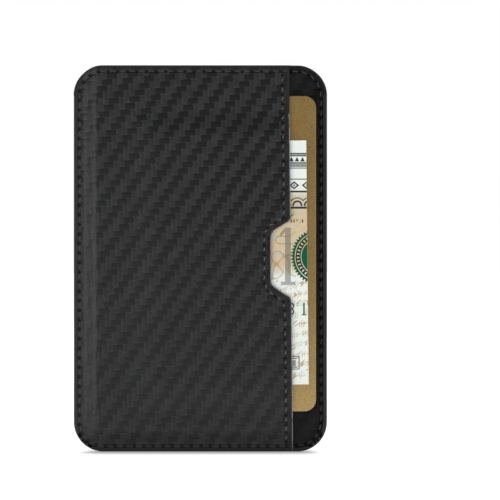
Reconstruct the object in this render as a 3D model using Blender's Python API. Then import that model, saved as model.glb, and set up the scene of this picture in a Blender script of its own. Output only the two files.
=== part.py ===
"""A slim card wallet, standing on its bottom edge with its front towards -Y.

Metres, +Z up. Heights run up from the bottom edge, and depths run forward (towards -Y)
from the seam plane, where the front and back walls meet.
"""

import math

import bmesh
import bpy
from mathutils import Matrix, Vector
from mathutils.bvhtree import BVHTree

MM = 0.001

# Body
WIDTH = 69 * MM
HEIGHT = 105 * MM
CORNER_RADIUS = 8 * MM
COAT = 0.18 * MM  # painted edge
COAT_GAP = 0.02 * MM
PAINT_ROUGHNESS = 0.35

# Sheet stock
LEATHER = 0.5 * MM
LEATHER_ROUGHNESS, LINING_ROUGHNESS, FOIL_ROUGHNESS = 0.45, 0.8, 0.35
LINING = 0.18 * MM
FOIL = 0.06 * MM
PLY = 0.04 * MM  # clearance between neighbouring plies

# Depths of the flat middle of the wallet
FRONT_WALL = 0.66 * MM  # rear face of the front wall's leather
FRONT_POCKET = 2.24 * MM  # rear face of the front pocket's leather
BACK_WALL = -2.30 * MM  # front face of the back wall's leather
NOTE_RISE = 0.52 * MM  # the front pocket bulges this much over the folded note
LIP_RISE = 1.04 * MM  # the front wall leans out to the pocket at the top opening
POCKET_GAPE = 1.96 * MM  # the back pocket stands this far open at its mouth

# Seams and swelling
SEAM = 2.5 * MM  # width of the flat, sewn border
SIDE_SWELL = 7 * MM  # distance from a side at which the swelling is full
FRONT_SWELL = 9.5 * MM  # the same above the bottom edge, in front
BACK_SWELL = 14.5 * MM  # and behind
BACK_SWELL_POWER = 1.8  # the back's bulge starts gently above its bottom edge
STITCH_INSET = 1.6 * MM
SIDE_SEAM_TOP = 97 * MM

# Front pocket mouth, on the right, with its finger notch
MOUTH_TOP_X = 24.1 * MM
MOUTH_BOTTOM_X = 25.2 * MM
NOTCH_X = 19.2 * MM
NOTCH_LOW, NOTCH_HIGH = 45.4 * MM, 59.8 * MM
NOTCH_MOUTH_LOW, NOTCH_MOUTH_HIGH = 41.7 * MM, 62.9 * MM
MOUTH_STITCH = 1.8 * MM
NOTCH_TUCK = 0.28  # how far a line beside the notch's corners is drawn in, per unit of inset

# Back pocket
BACK_MOUTH = 83.6 * MM
GAPE_FROM = 28 * MM
GAPE_POWER = 0.85

# Cards and note
CARD_WIDTH, CARD_HEIGHT, CARD_THICKNESS = 53.98 * MM, 85.6 * MM, 0.76 * MM
CARD_CORNER = 3.18 * MM
GOLD_CARD_LEFT, GOLD_CARD_LOW, GOLD_CARD_DEPTH = -22.55 * MM, 11.1 * MM, 1.20 * MM
STORED_CARD_LOW = 15.2 * MM
STORED_CARD_DEPTHS = (-0.80 * MM, -1.60 * MM)
NOTE_WIDTH, NOTE_HEIGHT = 39 * MM, 66.3 * MM
NOTE_FOLD_X, NOTE_LOW, NOTE_DEPTH = 29.1 * MM, 18.6 * MM, 2.01 * MM
NOTE_PAPER = 0.1 * MM
NOTE_LAYER = 0.125 * MM
NOTE_TURN = math.radians(0.6)

# Pull strap and tab
STRAP_WIDTH, STRAP = 12 * MM, 0.26 * MM
RIBBON_ROUGHNESS = 0.7
STRAP_FRONT, STRAP_BACK = 0.13 * MM, -1.77 * MM
STRAP_ANCHOR = 82 * MM
SLOT_HEIGHT, SLOT_WIDTH, SLOT_OPENING = 90.2 * MM, 13.2 * MM, 1.0 * MM
TAB_AXIS_HEIGHT, TAB_AXIS_DEPTH = 91.5 * MM, -3.85 * MM
TAB_LEAN = math.radians(14)
TAB_WIDTH, TAB_LEAF, TAB_LENGTH = 16 * MM, 0.62 * MM, 11 * MM
TAB_FOLD_RADIUS = 0.75 * MM

# Threads
THREAD_WIDTH, THREAD = 0.5 * MM, 0.12 * MM
THREAD_LIFT = 0.05 * MM
THREAD_ROUGHNESS = 0.6

ARC_STEPS = 8
TOUCHING = 0.01 * MM
FAR = 20 * MM

# The wallet's depth is centred on the origin.
FRONT_MOST = FRONT_POCKET + NOTE_RISE + LEATHER + THREAD_LIFT + THREAD
TAB_REACH = (TAB_LENGTH - TAB_FOLD_RADIUS - TAB_LEAF / 2) * math.sin(TAB_LEAN)
REAR_MOST = TAB_AXIS_DEPTH - TAB_REACH - TAB_FOLD_RADIUS - TAB_LEAF / 2
SEAM_Y = (FRONT_MOST + REAR_MOST) / 2

# Creases that every sheet shares, so that stacked sheets never cross
CREASES_X = [x * MM for x in (-36, -32, -27.5, -20, -13, -10.8, 8, 20, 27.5, 32, 36)]
CREASES_UP = [h * MM for h in (-1.5, 2.5, 6, 9.5, 14.5, 18, 30, 41, 54, 68, 84.5, 88, 97, 106.5)]


def clear_scene():
    for obj in list(bpy.data.objects):
        bpy.data.objects.remove(obj, do_unlink=True)


def place(x, up, depth):
    return Vector((x, SEAM_Y - depth, up))


# ---------------------------------------------------------------- materials


def material(name, colour, roughness, metallic=0.0):
    made = bpy.data.materials.new(name)
    made.use_nodes = True
    shader = made.node_tree.nodes["Principled BSDF"]
    shader.inputs["Base Color"].default_value = (*colour, 1)
    shader.inputs["Roughness"].default_value = roughness
    shader.inputs["Metallic"].default_value = metallic
    return made


def add_object(name, mesh_maker, colour, roughness, metallic=0.0, parent=None):
    """Puts a finished bmesh in the scene under its own material."""
    bmesh.ops.recalc_face_normals(mesh_maker, faces=mesh_maker.faces)
    mesh = bpy.data.meshes.new(name)
    mesh_maker.to_mesh(mesh)
    mesh_maker.free()
    mesh.shade_smooth()
    mesh.set_sharp_from_angle(angle=math.radians(30))
    mesh.materials.append(material(name, colour, roughness, metallic))
    obj = bpy.data.objects.new(name, mesh)
    bpy.context.scene.collection.objects.link(obj)
    obj.parent = parent
    return obj


# ------------------------------------------------------------ depth of the sheets


def ramp(value, start, end):
    return min(1.0, max(0.0, (value - start) / (end - start)))


def from_side(x):
    return WIDTH / 2 - abs(x)


def front_swell(x, up):
    return min(ramp(from_side(x), SEAM, SIDE_SWELL), ramp(up, SEAM, FRONT_SWELL))


def back_swell(x, up):
    return min(ramp(from_side(x), SEAM, SIDE_SWELL), ramp(up, SEAM, BACK_SWELL) ** BACK_SWELL_POWER)


def front_wall_rear(x, up):
    lip = LIP_RISE * ramp(up, SIDE_SEAM_TOP, CREASES_UP[-1])
    edge = PLY / 2
    return edge + (FRONT_WALL - edge + lip) * front_swell(x, up)


def front_pocket_rear(x, up):
    over_note = min(
        ramp(x, CREASES_X[4], CREASES_X[5]),
        ramp(up, BACK_SWELL, CREASES_UP[5]),
        1 - ramp(up, CREASES_UP[10], CREASES_UP[11]),
    )
    edge = LEATHER + PLY
    return edge + (FRONT_POCKET - edge + NOTE_RISE * over_note) * front_swell(x, up)


def back_wall_front(x, up):
    edge = -PLY / 2
    return edge + (BACK_WALL - edge) * back_swell(x, up)


def back_pocket_front(x, up):
    open_across = ramp(from_side(x), SIDE_SWELL, SIDE_SWELL * 3)
    open_up = ramp(up, GAPE_FROM, CREASES_UP[10]) ** GAPE_POWER
    return back_wall_front(x, up) - LEATHER - PLY - POCKET_GAPE * open_across * open_up


def shifted(surface, amount):
    return lambda x, up: surface(x, up) + amount


# ------------------------------------------------------------------- outlines


def arc(centre, radius, start, end, steps=ARC_STEPS):
    """Points round a centre, angles in degrees."""
    angles = [math.radians(start + (end - start) * i / steps) for i in range(steps + 1)]
    return [(centre[0] + radius * math.cos(a), centre[1] + radius * math.sin(a)) for a in angles]


def body_path(inset):
    """The wallet's outline, anticlockwise from halfway up the right side."""
    radius = CORNER_RADIUS - inset
    right, low, high = WIDTH / 2 - CORNER_RADIUS, CORNER_RADIUS, HEIGHT - CORNER_RADIUS
    return (
        arc((right, high), radius, 0, 90)
        + arc((-right, high), radius, 90, 180)
        + arc((-right, low), radius, 180, 270)
        + arc((right, low), radius, 270, 360)
    )


def mouth_x(up):
    return MOUTH_BOTTOM_X + (MOUTH_TOP_X - MOUTH_BOTTOM_X) * up / HEIGHT


def mouth_path(inset, low, high):
    """The front pocket's mouth, upwards, with its finger notch, moved left by inset."""
    slope = math.hypot(mouth_x(NOTCH_MOUTH_LOW) - NOTCH_X, NOTCH_LOW - NOTCH_MOUTH_LOW)
    spread = inset * (slope - (mouth_x(NOTCH_LOW) - NOTCH_X)) / (NOTCH_LOW - NOTCH_MOUTH_LOW)
    tuck = inset * NOTCH_TUCK
    return [
        (mouth_x(low) - inset, low),
        (mouth_x(NOTCH_MOUTH_LOW) - inset, NOTCH_MOUTH_LOW - spread - tuck),
        (NOTCH_X - inset, NOTCH_LOW - tuck),
        (NOTCH_X - inset, NOTCH_HIGH + tuck),
        (mouth_x(NOTCH_MOUTH_HIGH) - inset, NOTCH_MOUTH_HIGH + spread + tuck),
        (mouth_x(high) - inset, high),
    ]


def box_outline(left, low, right, high, radius):
    if not radius:
        return [(left, low), (right, low), (right, high), (left, high)]
    return (
        arc((right - radius, low + radius), radius, 270, 360)
        + arc((right - radius, high - radius), radius, 0, 90)
        + arc((left + radius, high - radius), radius, 90, 180)
        + arc((left + radius, low + radius), radius, 180, 270)
    )


# ------------------------------------------------------------------ solid makers


def slab(outline, rear, front):
    """A flat plate of this outline between two depths."""
    made = bmesh.new()
    face = made.faces.new([made.verts.new(place(x, up, rear)) for x, up in outline])
    grown = bmesh.ops.extrude_face_region(made, geom=[face])["geom"]
    moved = [v for v in grown if isinstance(v, bmesh.types.BMVert)]
    bmesh.ops.translate(made, verts=moved, vec=(0, rear - front, 0))
    return made


def creased_sheet(rear, front):
    """A sheet over the whole wallet, folded only along the shared creases."""
    made = bmesh.new()
    columns, rows = len(CREASES_X) - 1, len(CREASES_UP) - 1
    grid = bmesh.ops.create_grid(made, x_segments=columns, y_segments=rows, size=1)["verts"]
    for vert in grid:
        x = CREASES_X[round((vert.co.x + 1) / 2 * columns)]
        up = CREASES_UP[round((vert.co.y + 1) / 2 * rows)]
        vert.co = (x, 0, up)
    bmesh.ops.triangulate(made, faces=made.faces, quad_method="FIXED")
    grown = bmesh.ops.extrude_face_region(made, geom=list(made.faces))["geom"]
    near = {v for v in grown if isinstance(v, bmesh.types.BMVert)}
    for vert in made.verts:
        surface = front if vert in near else rear
        vert.co = place(vert.co.x, vert.co.z, surface(vert.co.x, vert.co.z))
    bmesh.ops.recalc_face_normals(made, faces=made.faces)
    return made


def cut(obj, cutter_mesh, operation):
    """Trims obj with a hidden cutter."""
    bmesh.ops.recalc_face_normals(cutter_mesh, faces=cutter_mesh.faces)
    mesh = bpy.data.meshes.new(obj.name + "_cutter")
    cutter_mesh.to_mesh(mesh)
    cutter_mesh.free()
    cutter = bpy.data.objects.new(mesh.name, mesh)
    cutter.hide_render = True
    cutter.display_type = "WIRE"
    bpy.context.scene.collection.objects.link(cutter)
    modifier = obj.modifiers.new(operation.title(), "BOOLEAN")
    modifier.operation = operation
    modifier.object = cutter


def sheet(name, rear, thickness, outline, colour, roughness, metallic=0.0, slot=False):
    made = creased_sheet(rear, shifted(rear, thickness))
    obj = add_object(name, made, colour, roughness, metallic)
    cut(obj, slab(outline, -FAR, FAR), "INTERSECT")
    if slot:
        half, opening = SLOT_WIDTH / 2, SLOT_OPENING / 2
        window = box_outline(-half, SLOT_HEIGHT - opening, half, SLOT_HEIGHT + opening, 0)
        cut(obj, slab(window, -FAR, 0), "DIFFERENCE")
    return obj


def side_directions(path, closed):
    """For each point, the unit-width direction to the right of the path."""
    count = len(path)
    directions = []
    for i, (x, up) in enumerate(path):
        before = path[i - 1] if i or closed else path[i]
        after = path[(i + 1) % count] if i + 1 < count or closed else path[i]
        legs = [Vector((x - before[0], up - before[1])), Vector((after[0] - x, after[1] - up))]
        normals = [Vector((leg.y, -leg.x)).normalized() for leg in legs if leg.length > 0]
        middle = sum(normals, Vector((0, 0))).normalized()
        directions.append(middle / max(0.5, middle.dot(normals[0])))
    return directions


def band(path, inner, outer, low, high, closed=False):
    """A strip along a path: from inner to outer to the path's right, from low to high in depth."""
    made = bmesh.new()
    rings = []
    for (x, up), way in zip(path, side_directions(path, closed)):
        ring = []
        for across, surface in ((inner, low), (outer, low), (outer, high), (inner, high)):
            point = (x + way.x * across, up + way.y * across)
            ring.append(made.verts.new(place(*point, surface(x, up))))
        rings.append(ring)
    pairs = list(zip(rings, rings[1:])) + ([(rings[-1], rings[0])] if closed else [])
    for first, second in pairs:
        for i in range(4):
            j = (i + 1) % 4
            made.faces.new((first[i], first[j], second[j], second[i]))
    if not closed:
        made.faces.new(rings[0])
        made.faces.new(rings[-1])
    return made


def ribbon(path, thickness, to_point, width):
    """A strip of constant thickness along a flat path, width wide; to_point(a, b, across)."""
    made = bmesh.new()
    left, right = [], []
    for (a, b), way in zip(path, side_directions(path, False)):
        left.append((a - way.x * thickness / 2, b - way.y * thickness / 2))
        right.append((a + way.x * thickness / 2, b + way.y * thickness / 2))
    rows = [
        [[made.verts.new(to_point(*p, across)) for p in side] for side in (left, right)]
        for across in (-width / 2, width / 2)
    ]
    for i in range(len(path) - 1):
        for side in (0, 1):
            one, two = rows[0][side], rows[1][side]
            made.faces.new((one[i], one[i + 1], two[i + 1], two[i]))
        for row in rows:
            made.faces.new((row[0][i], row[0][i + 1], row[1][i + 1], row[1][i]))
    for i in (0, -1):
        made.faces.new((rows[0][0][i], rows[0][1][i], rows[1][1][i], rows[1][0][i]))
    return made


def depth_reader(surface, from_front):
    """Reads the depth of a creased surface anywhere, exactly as its facets lie."""
    made = creased_sheet(shifted(surface, -PLY), surface)
    if not from_front:
        made.free()
        made = creased_sheet(surface, shifted(surface, PLY))
    tree = BVHTree.FromBMesh(made)
    made.free()
    start, way = (-1, Vector((0, 1, 0))) if from_front else (1, Vector((0, -1, 0)))

    def read(x, up):
        hit = tree.ray_cast(Vector((x, start, up)), way)[0]
        return SEAM_Y - hit.y

    return read


# ----------------------------------------------------------------- leather and lining

WOVEN = (0.045, 0.046, 0.05)
BLACK_LINING = (0.02, 0.02, 0.022)
FOIL_GREY = (0.55, 0.56, 0.58)
PAINT = (0.012, 0.012, 0.014)
GREY_THREAD = (0.16, 0.17, 0.18)

clear_scene()

LEATHER_INSET = COAT + COAT_GAP
leather_outline = body_path(LEATHER_INSET)
trimmed_high = HEIGHT - LEATHER_INSET

pocket_outline = mouth_path(0, -1 * MM, HEIGHT + 1 * MM) + [
    (-WIDTH, HEIGHT + 1 * MM),
    (-WIDTH, -1 * MM),
]
pocket = sheet("front_pocket_outer", front_pocket_rear, LEATHER, pocket_outline, WOVEN, LEATHER_ROUGHNESS)
cut(pocket, slab(leather_outline, -FAR, FAR), "INTERSECT")

LINING_INSET, LINING_LOW, LINING_HIGH = 4 * MM, 10 * MM, HEIGHT - 2.4 * MM
LINING_CORNER = 3 * MM
FOIL_MARGIN = 0.5 * MM  # the foil stops this far inside the lining
POCKET_LINING_RIGHT, POCKET_LINING_HIGH = 16.5 * MM, HEIGHT - 8 * MM


def inner_outline(margin, right=WIDTH / 2 - LINING_INSET, high=LINING_HIGH):
    left = -WIDTH / 2 + LINING_INSET
    return box_outline(
        left + margin, LINING_LOW + margin, right - margin, high - margin, LINING_CORNER
    )


lining_outline = inner_outline(0)
foil_outline = inner_outline(FOIL_MARGIN)
pocket_lining_outline = inner_outline(0, POCKET_LINING_RIGHT, POCKET_LINING_HIGH)

sheet(
    "front_pocket_lining",
    shifted(front_pocket_rear, -PLY - LINING),
    LINING,
    pocket_lining_outline,
    BLACK_LINING,
    LINING_ROUGHNESS,
)
sheet("front_wall_outer", front_wall_rear, LEATHER, leather_outline, WOVEN, LEATHER_ROUGHNESS)
sheet(
    "front_wall_foil",
    shifted(front_wall_rear, -PLY - FOIL),
    FOIL,
    foil_outline,
    FOIL_GREY,
    FOIL_ROUGHNESS,
    1.0,
)
sheet(
    "front_wall_lining",
    shifted(front_wall_rear, -2 * PLY - FOIL - LINING),
    LINING,
    lining_outline,
    BLACK_LINING,
    LINING_ROUGHNESS,
)
sheet(
    "back_wall_lining",
    shifted(back_wall_front, 2 * PLY + FOIL),
    LINING,
    lining_outline,
    BLACK_LINING,
    LINING_ROUGHNESS,
    slot=True,
)
sheet(
    "back_wall_foil",
    shifted(back_wall_front, PLY),
    FOIL,
    foil_outline,
    FOIL_GREY,
    FOIL_ROUGHNESS,
    1.0,
    slot=True,
)
sheet(
    "back_wall_outer",
    shifted(back_wall_front, -LEATHER),
    LEATHER,
    leather_outline,
    WOVEN,
    LEATHER_ROUGHNESS,
    slot=True,
)
back_pocket = sheet(
    "back_pocket_outer",
    shifted(back_pocket_front, -LEATHER),
    LEATHER,
    leather_outline,
    WOVEN,
    LEATHER_ROUGHNESS,
)
cut(
    back_pocket,
    slab(box_outline(-WIDTH, -WIDTH, WIDTH, BACK_MOUTH, 0), -FAR, FAR),
    "INTERSECT",
)

# --------------------------------------------------------------------- painted edges

pocket_front_at = depth_reader(shifted(front_pocket_rear, LEATHER), True)
pocket_rear_at = depth_reader(front_pocket_rear, False)
wall_front_at = depth_reader(shifted(front_wall_rear, LEATHER), True)
wall_rear_at = depth_reader(front_wall_rear, False)
back_front_at = depth_reader(back_wall_front, True)
back_rear_at = depth_reader(shifted(back_wall_front, -LEATHER), False)
back_pocket_front_at = depth_reader(back_pocket_front, True)
back_pocket_rear_at = depth_reader(shifted(back_pocket_front, -LEATHER), False)

BODY_EDGE = 2 * LEATHER + 2 * PLY


def level(depth):
    return lambda x, up: depth


def crease_stops(path):
    """The path with a point added wherever it crosses an upright or level crease."""
    stops = []
    for (x0, u0), (x1, u1) in zip(path, path[1:]):
        shares = {0.0}
        for start, end, lines in ((x0, x1, CREASES_X), (u0, u1, CREASES_UP)):
            if abs(end - start) > TOUCHING:
                shares |= {(line - start) / (end - start) for line in lines}
        for share in sorted(s for s in shares if 0 <= s < 0.999):
            stops.append((x0 + (x1 - x0) * share, u0 + (u1 - u0) * share))
    return stops + [path[-1]]


body_coat_path = [(-leather_outline[0][0], SIDE_SEAM_TOP - 0.1 * MM)]
body_coat_path += [p for p in leather_outline if p[1] < HEIGHT / 2]
body_coat_path += [(leather_outline[0][0], SIDE_SEAM_TOP - 0.1 * MM)]
add_object(
    "body_edge_coat",
    band(body_coat_path, COAT_GAP, LEATHER_INSET, level(-BODY_EDGE), level(BODY_EDGE)),
    PAINT,
    PAINT_ROUGHNESS,
)

lip_path = [(leather_outline[0][0], SIDE_SEAM_TOP)]
lip_path += [p for p in leather_outline if p[1] > SIDE_SEAM_TOP + TOUCHING]
lip_path += [(-leather_outline[0][0], SIDE_SEAM_TOP)]
step_x = mouth_x(HEIGHT) + LEATHER_INSET
lip_path = crease_stops(lip_path)
after = next(i for i, p in enumerate(lip_path) if p[0] < step_x)
lip_path[after:after] = [(step_x + 0.1 * MM, trimmed_high), (step_x - 0.1 * MM, trimmed_high)]


def front_lip_face(x, up):
    read = pocket_front_at if x < step_x else wall_front_at
    return read(x, up)


add_object(
    "front_lip_edge_coat",
    band(lip_path, COAT_GAP, LEATHER_INSET, wall_rear_at, front_lip_face),
    PAINT,
    PAINT_ROUGHNESS,
)
add_object(
    "back_lip_edge_coat",
    band(lip_path, COAT_GAP, LEATHER_INSET, back_rear_at, back_front_at),
    PAINT,
    PAINT_ROUGHNESS,
)

MOUTH_END = 0.5 * MM
mouth_line = crease_stops(mouth_path(0, MOUTH_END, HEIGHT - MOUTH_END))
add_object(
    "front_mouth_edge_coat",
    band(mouth_line, COAT_GAP, LEATHER_INSET, pocket_rear_at, pocket_front_at),
    PAINT,
    PAINT_ROUGHNESS,
)

mouth_half = WIDTH / 2 - LEATHER_INSET
back_mouth_line = crease_stops([(mouth_half, BACK_MOUTH), (-mouth_half, BACK_MOUTH)])
add_object(
    "back_mouth_edge_coat",
    band(
        back_mouth_line, COAT_GAP, LEATHER_INSET, back_pocket_rear_at, back_pocket_front_at
    ),
    PAINT,
    PAINT_ROUGHNESS,
)

# --------------------------------------------------------------------------- threads


def thread(name, path, face, outwards, closed=False):
    """A line of stitching that lies on a face; outwards is 1 in front and -1 behind."""
    near, far = THREAD_LIFT, THREAD_LIFT + THREAD
    made = band(
        path,
        -THREAD_WIDTH / 2,
        THREAD_WIDTH / 2,
        lambda x, up: face(x, up) + outwards * near,
        lambda x, up: face(x, up) + outwards * far,
        closed,
    )
    return add_object(name, made, GREY_THREAD, THREAD_ROUGHNESS)


def front_face(x, up):
    """Depth of the front: the pocket, and the wall beyond the pocket's mouth."""
    read = pocket_front_at if x < mouth_x(up) + 2 * LEATHER_INSET else wall_front_at
    return read(x, up)


def with_step(path, at_x, up):
    """Adds two points close together on a level run, where the face under it steps."""
    spots = [i for i, p in enumerate(path) if abs(p[1] - up) < TOUCHING]
    first = spots[0]
    rising = path[spots[-1]][0] > path[first][0]
    near, far = (at_x - 0.05 * MM, at_x + 0.05 * MM)
    pair = [(near, up), (far, up)] if rising else [(far, up), (near, up)]
    after = next(i for i in spots if (path[i][0] > at_x) == rising)
    return path[:after] + pair + path[after:]


seam_loop = crease_stops(body_path(STITCH_INSET) + body_path(STITCH_INSET)[:1])[:-1]
for up in (HEIGHT - STITCH_INSET, STITCH_INSET):
    seam_loop = with_step(seam_loop, mouth_x(up) + 2 * LEATHER_INSET, up)
thread("front_seam_thread", seam_loop, front_face, 1, closed=True)

seam_x = WIDTH / 2 - STITCH_INSET
STEP_CLEARANCE = 0.45 * MM
back_seam = [(-seam_x, SIDE_SEAM_TOP), (-seam_x, BACK_MOUTH + 1 * MM)]
back_seam += [(-seam_x, BACK_MOUTH + STEP_CLEARANCE)]
back_seam += [p for p in body_path(STITCH_INSET) if p[1] < HEIGHT / 2]
back_seam += [(seam_x, BACK_MOUTH + STEP_CLEARANCE)]
back_seam += [(seam_x, BACK_MOUTH + 1 * MM), (seam_x, SIDE_SEAM_TOP)]


def back_face(x, up):
    read = back_pocket_rear_at if up < BACK_MOUTH + 2 * STEP_CLEARANCE else back_rear_at
    return read(x, up)


thread("back_seam_thread", back_seam, back_face, -1)

lip_seam_half = WIDTH / 2 - CORNER_RADIUS
lip_seam = [(lip_seam_half, HEIGHT - STITCH_INSET), (-lip_seam_half, HEIGHT - STITCH_INSET)]
thread("back_lip_thread", crease_stops(lip_seam), back_rear_at, -1)

mouth_seam = mouth_path(MOUTH_STITCH, STITCH_INSET + 1 * MM, HEIGHT - STITCH_INSET - 1 * MM)
thread("front_mouth_thread", crease_stops(mouth_seam), pocket_front_at, 1)

BACK_MOUTH_STITCH = 2 * MM
back_half = WIDTH / 2 - STITCH_INSET - 1 * MM
back_mouth_seam = [
    (back_half, BACK_MOUTH - BACK_MOUTH_STITCH),
    (-back_half, BACK_MOUTH - BACK_MOUTH_STITCH),
]
thread("back_mouth_thread", crease_stops(back_mouth_seam), back_pocket_rear_at, -1)

# ---------------------------------------------------------------------- cards and note

GOLD, GOLD_ROUGHNESS, GOLD_METALLIC = (0.42, 0.3, 0.12), 0.35, 0.7
gold_outline = box_outline(
    GOLD_CARD_LEFT,
    GOLD_CARD_LOW,
    GOLD_CARD_LEFT + CARD_WIDTH,
    GOLD_CARD_LOW + CARD_HEIGHT,
    CARD_CORNER,
)
add_object(
    "gold_card",
    slab(gold_outline, GOLD_CARD_DEPTH, GOLD_CARD_DEPTH + CARD_THICKNESS),
    GOLD,
    GOLD_ROUGHNESS,
    GOLD_METALLIC,
)

STORED_COLOURS = ((0.75, 0.76, 0.78), (0.12, 0.2, 0.34))
CARD_ROUGHNESS = 0.3
stored_outline = box_outline(
    -CARD_WIDTH / 2,
    STORED_CARD_LOW,
    CARD_WIDTH / 2,
    STORED_CARD_LOW + CARD_HEIGHT,
    CARD_CORNER,
)
for number, (depth, colour) in enumerate(zip(STORED_CARD_DEPTHS, STORED_COLOURS), start=1):
    add_object(
        f"stored_card_{number}",
        slab(stored_outline, depth, depth + CARD_THICKNESS),
        colour,
        CARD_ROUGHNESS,
    )


def note_path():
    """Section of a sheet folded in half twice, as (x, depth), from its outer free end."""
    outer = 1.5 * NOTE_LAYER
    inner = 0.5 * NOTE_LAYER
    middle = NOTE_DEPTH + 2 * NOTE_LAYER
    right = NOTE_FOLD_X - outer - NOTE_PAPER / 2
    left = NOTE_FOLD_X - NOTE_WIDTH
    turned = left + inner + NOTE_PAPER
    path = [(left, middle - outer), *arc((right, middle), outer, -90, 90)]
    path += arc((turned, middle + (outer + inner) / 2), (outer - inner) / 2, 90, 270, 6)
    path += arc((right, middle), inner, 90, -90, 6)
    return path + [(left, middle - inner)]


note_middle = NOTE_LOW + NOTE_HEIGHT / 2
note = ribbon(
    note_path(),
    NOTE_PAPER,
    lambda x, depth, across: place(x, note_middle + across, depth),
    NOTE_HEIGHT,
)
note_centre = place(NOTE_FOLD_X, note_middle, NOTE_DEPTH)
bmesh.ops.rotate(
    note, verts=note.verts, cent=note_centre, matrix=Matrix.Rotation(-NOTE_TURN, 3, "Y")
)
NOTE_COLOUR, NOTE_ROUGHNESS = (0.75, 0.78, 0.74), 0.7
add_object("folded_note", note, NOTE_COLOUR, NOTE_ROUGHNESS)

# ------------------------------------------------------------------------ strap and tab

RIBBON_BLACK = (0.015, 0.015, 0.017)
BEND = 0.3 * MM
CARD_BEND = 0.13 * MM  # tighter where the strap turns under the stored cards
under_cards = STORED_CARD_LOW - 0.1 * MM - STRAP / 2


def in_section(depth, up, across):
    return place(across, up, depth)


strap_line = [
    (STRAP_FRONT, STRAP_ANCHOR),
    (STRAP_FRONT, under_cards + CARD_BEND),
    (STRAP_FRONT - CARD_BEND, under_cards),
    (STRAP_BACK + CARD_BEND, under_cards),
    (STRAP_BACK, under_cards + CARD_BEND),
    (STRAP_BACK, SLOT_HEIGHT - 2 * BEND),
    (STRAP_BACK - BEND, SLOT_HEIGHT),
    (TAB_AXIS_DEPTH + 2.5 * BEND, SLOT_HEIGHT),
]
add_object(
    "pull_strap",
    ribbon(strap_line, STRAP, in_section, STRAP_WIDTH),
    RIBBON_BLACK,
    RIBBON_ROUGHNESS,
)

stub_line = [
    (TAB_AXIS_DEPTH + 1.7 * BEND, SLOT_HEIGHT + 0.5 * BEND),
    (TAB_AXIS_DEPTH, SLOT_HEIGHT + 2 * BEND),
    (TAB_AXIS_DEPTH, TAB_AXIS_HEIGHT - 0.2 * MM),
]
add_object(
    "strap_end",
    ribbon(stub_line, STRAP, in_section, STRAP_WIDTH),
    RIBBON_BLACK,
    RIBBON_ROUGHNESS,
)

ANCHOR_HEIGHT, ANCHOR_THREAD = 6 * MM, 0.05 * MM
anchor_half = STRAP_WIDTH / 2 - 1.2 * MM
anchor_low = STRAP_ANCHOR - ANCHOR_HEIGHT - 1 * MM
anchor_loop = box_outline(-anchor_half, anchor_low, anchor_half, anchor_low + ANCHOR_HEIGHT, 0)
anchor_face = STRAP_FRONT + STRAP / 2 + 0.015 * MM
add_object(
    "strap_anchor_thread",
    band(
        anchor_loop,
        -THREAD_WIDTH / 2,
        THREAD_WIDTH / 2,
        level(anchor_face),
        level(anchor_face + ANCHOR_THREAD),
        closed=True,
    ),
    GREY_THREAD,
    THREAD_ROUGHNESS,
)

tab_hinge = bpy.data.objects.new("tab_hinge", None)
bpy.context.scene.collection.objects.link(tab_hinge)
tab_hinge.location = place(0, TAB_AXIS_HEIGHT, TAB_AXIS_DEPTH)
tab_hinge.rotation_euler.x = -TAB_LEAN


def in_tab(out, along, across):
    """A point in the tab's own frame: out is away from the wallet, along runs to the fold."""
    return Vector((across, out, along))


TAB_START = 0.3 * MM
leaf_low = STRAP / 2 + 2 * PLY + TAB_LEAF / 2
fold_at = TAB_LENGTH - TAB_FOLD_RADIUS - TAB_LEAF / 2
tab_line = [(-leaf_low, TAB_START)]
tab_line += [(-a, b) for a, b in arc((0, fold_at), TAB_FOLD_RADIUS, 0, 180)]
tab_line += [(leaf_low, TAB_START)]
add_object(
    "pull_tab_leather",
    ribbon(tab_line, TAB_LEAF, in_tab, TAB_WIDTH),
    WOVEN,
    LEATHER_ROUGHNESS,
    parent=tab_hinge,
)

core_line = [(0, TAB_START), (0, fold_at - 1 * MM)]
add_object(
    "pull_tab_ribbon",
    ribbon(core_line, STRAP, in_tab, STRAP_WIDTH),
    RIBBON_BLACK,
    RIBBON_ROUGHNESS,
    parent=tab_hinge,
)

TAB_STITCH = 1.3 * MM
stitch_half = TAB_WIDTH / 2 - TAB_STITCH
tab_loop = box_outline(
    -stitch_half, TAB_START + TAB_STITCH, stitch_half, fold_at - TAB_STITCH, 0
)


def leaf_face(along):
    """How far the tab's outer face stands from its middle."""
    share = (along - TAB_START) / (fold_at - TAB_START)
    return leaf_low + (TAB_FOLD_RADIUS - leaf_low) * share + TAB_LEAF / 2


tab_thread = band(
    tab_loop,
    -THREAD_WIDTH / 2,
    THREAD_WIDTH / 2,
    lambda x, along: -leaf_face(along) - THREAD_LIFT,
    lambda x, along: -leaf_face(along) - THREAD_LIFT - THREAD,
    closed=True,
)
bmesh.ops.translate(tab_thread, verts=tab_thread.verts, vec=(0, -SEAM_Y, 0))
add_object(
    "pull_tab_thread", tab_thread, GREY_THREAD, THREAD_ROUGHNESS, parent=tab_hinge
)
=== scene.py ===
"""A slim card wallet in twill-embossed leather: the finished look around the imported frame.

Metres, +Z up, front towards -Y. Depths run forward (towards -Y) from the seam plane.
"""

import math

import bmesh
import bpy
from mathutils import Matrix, Vector


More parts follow.
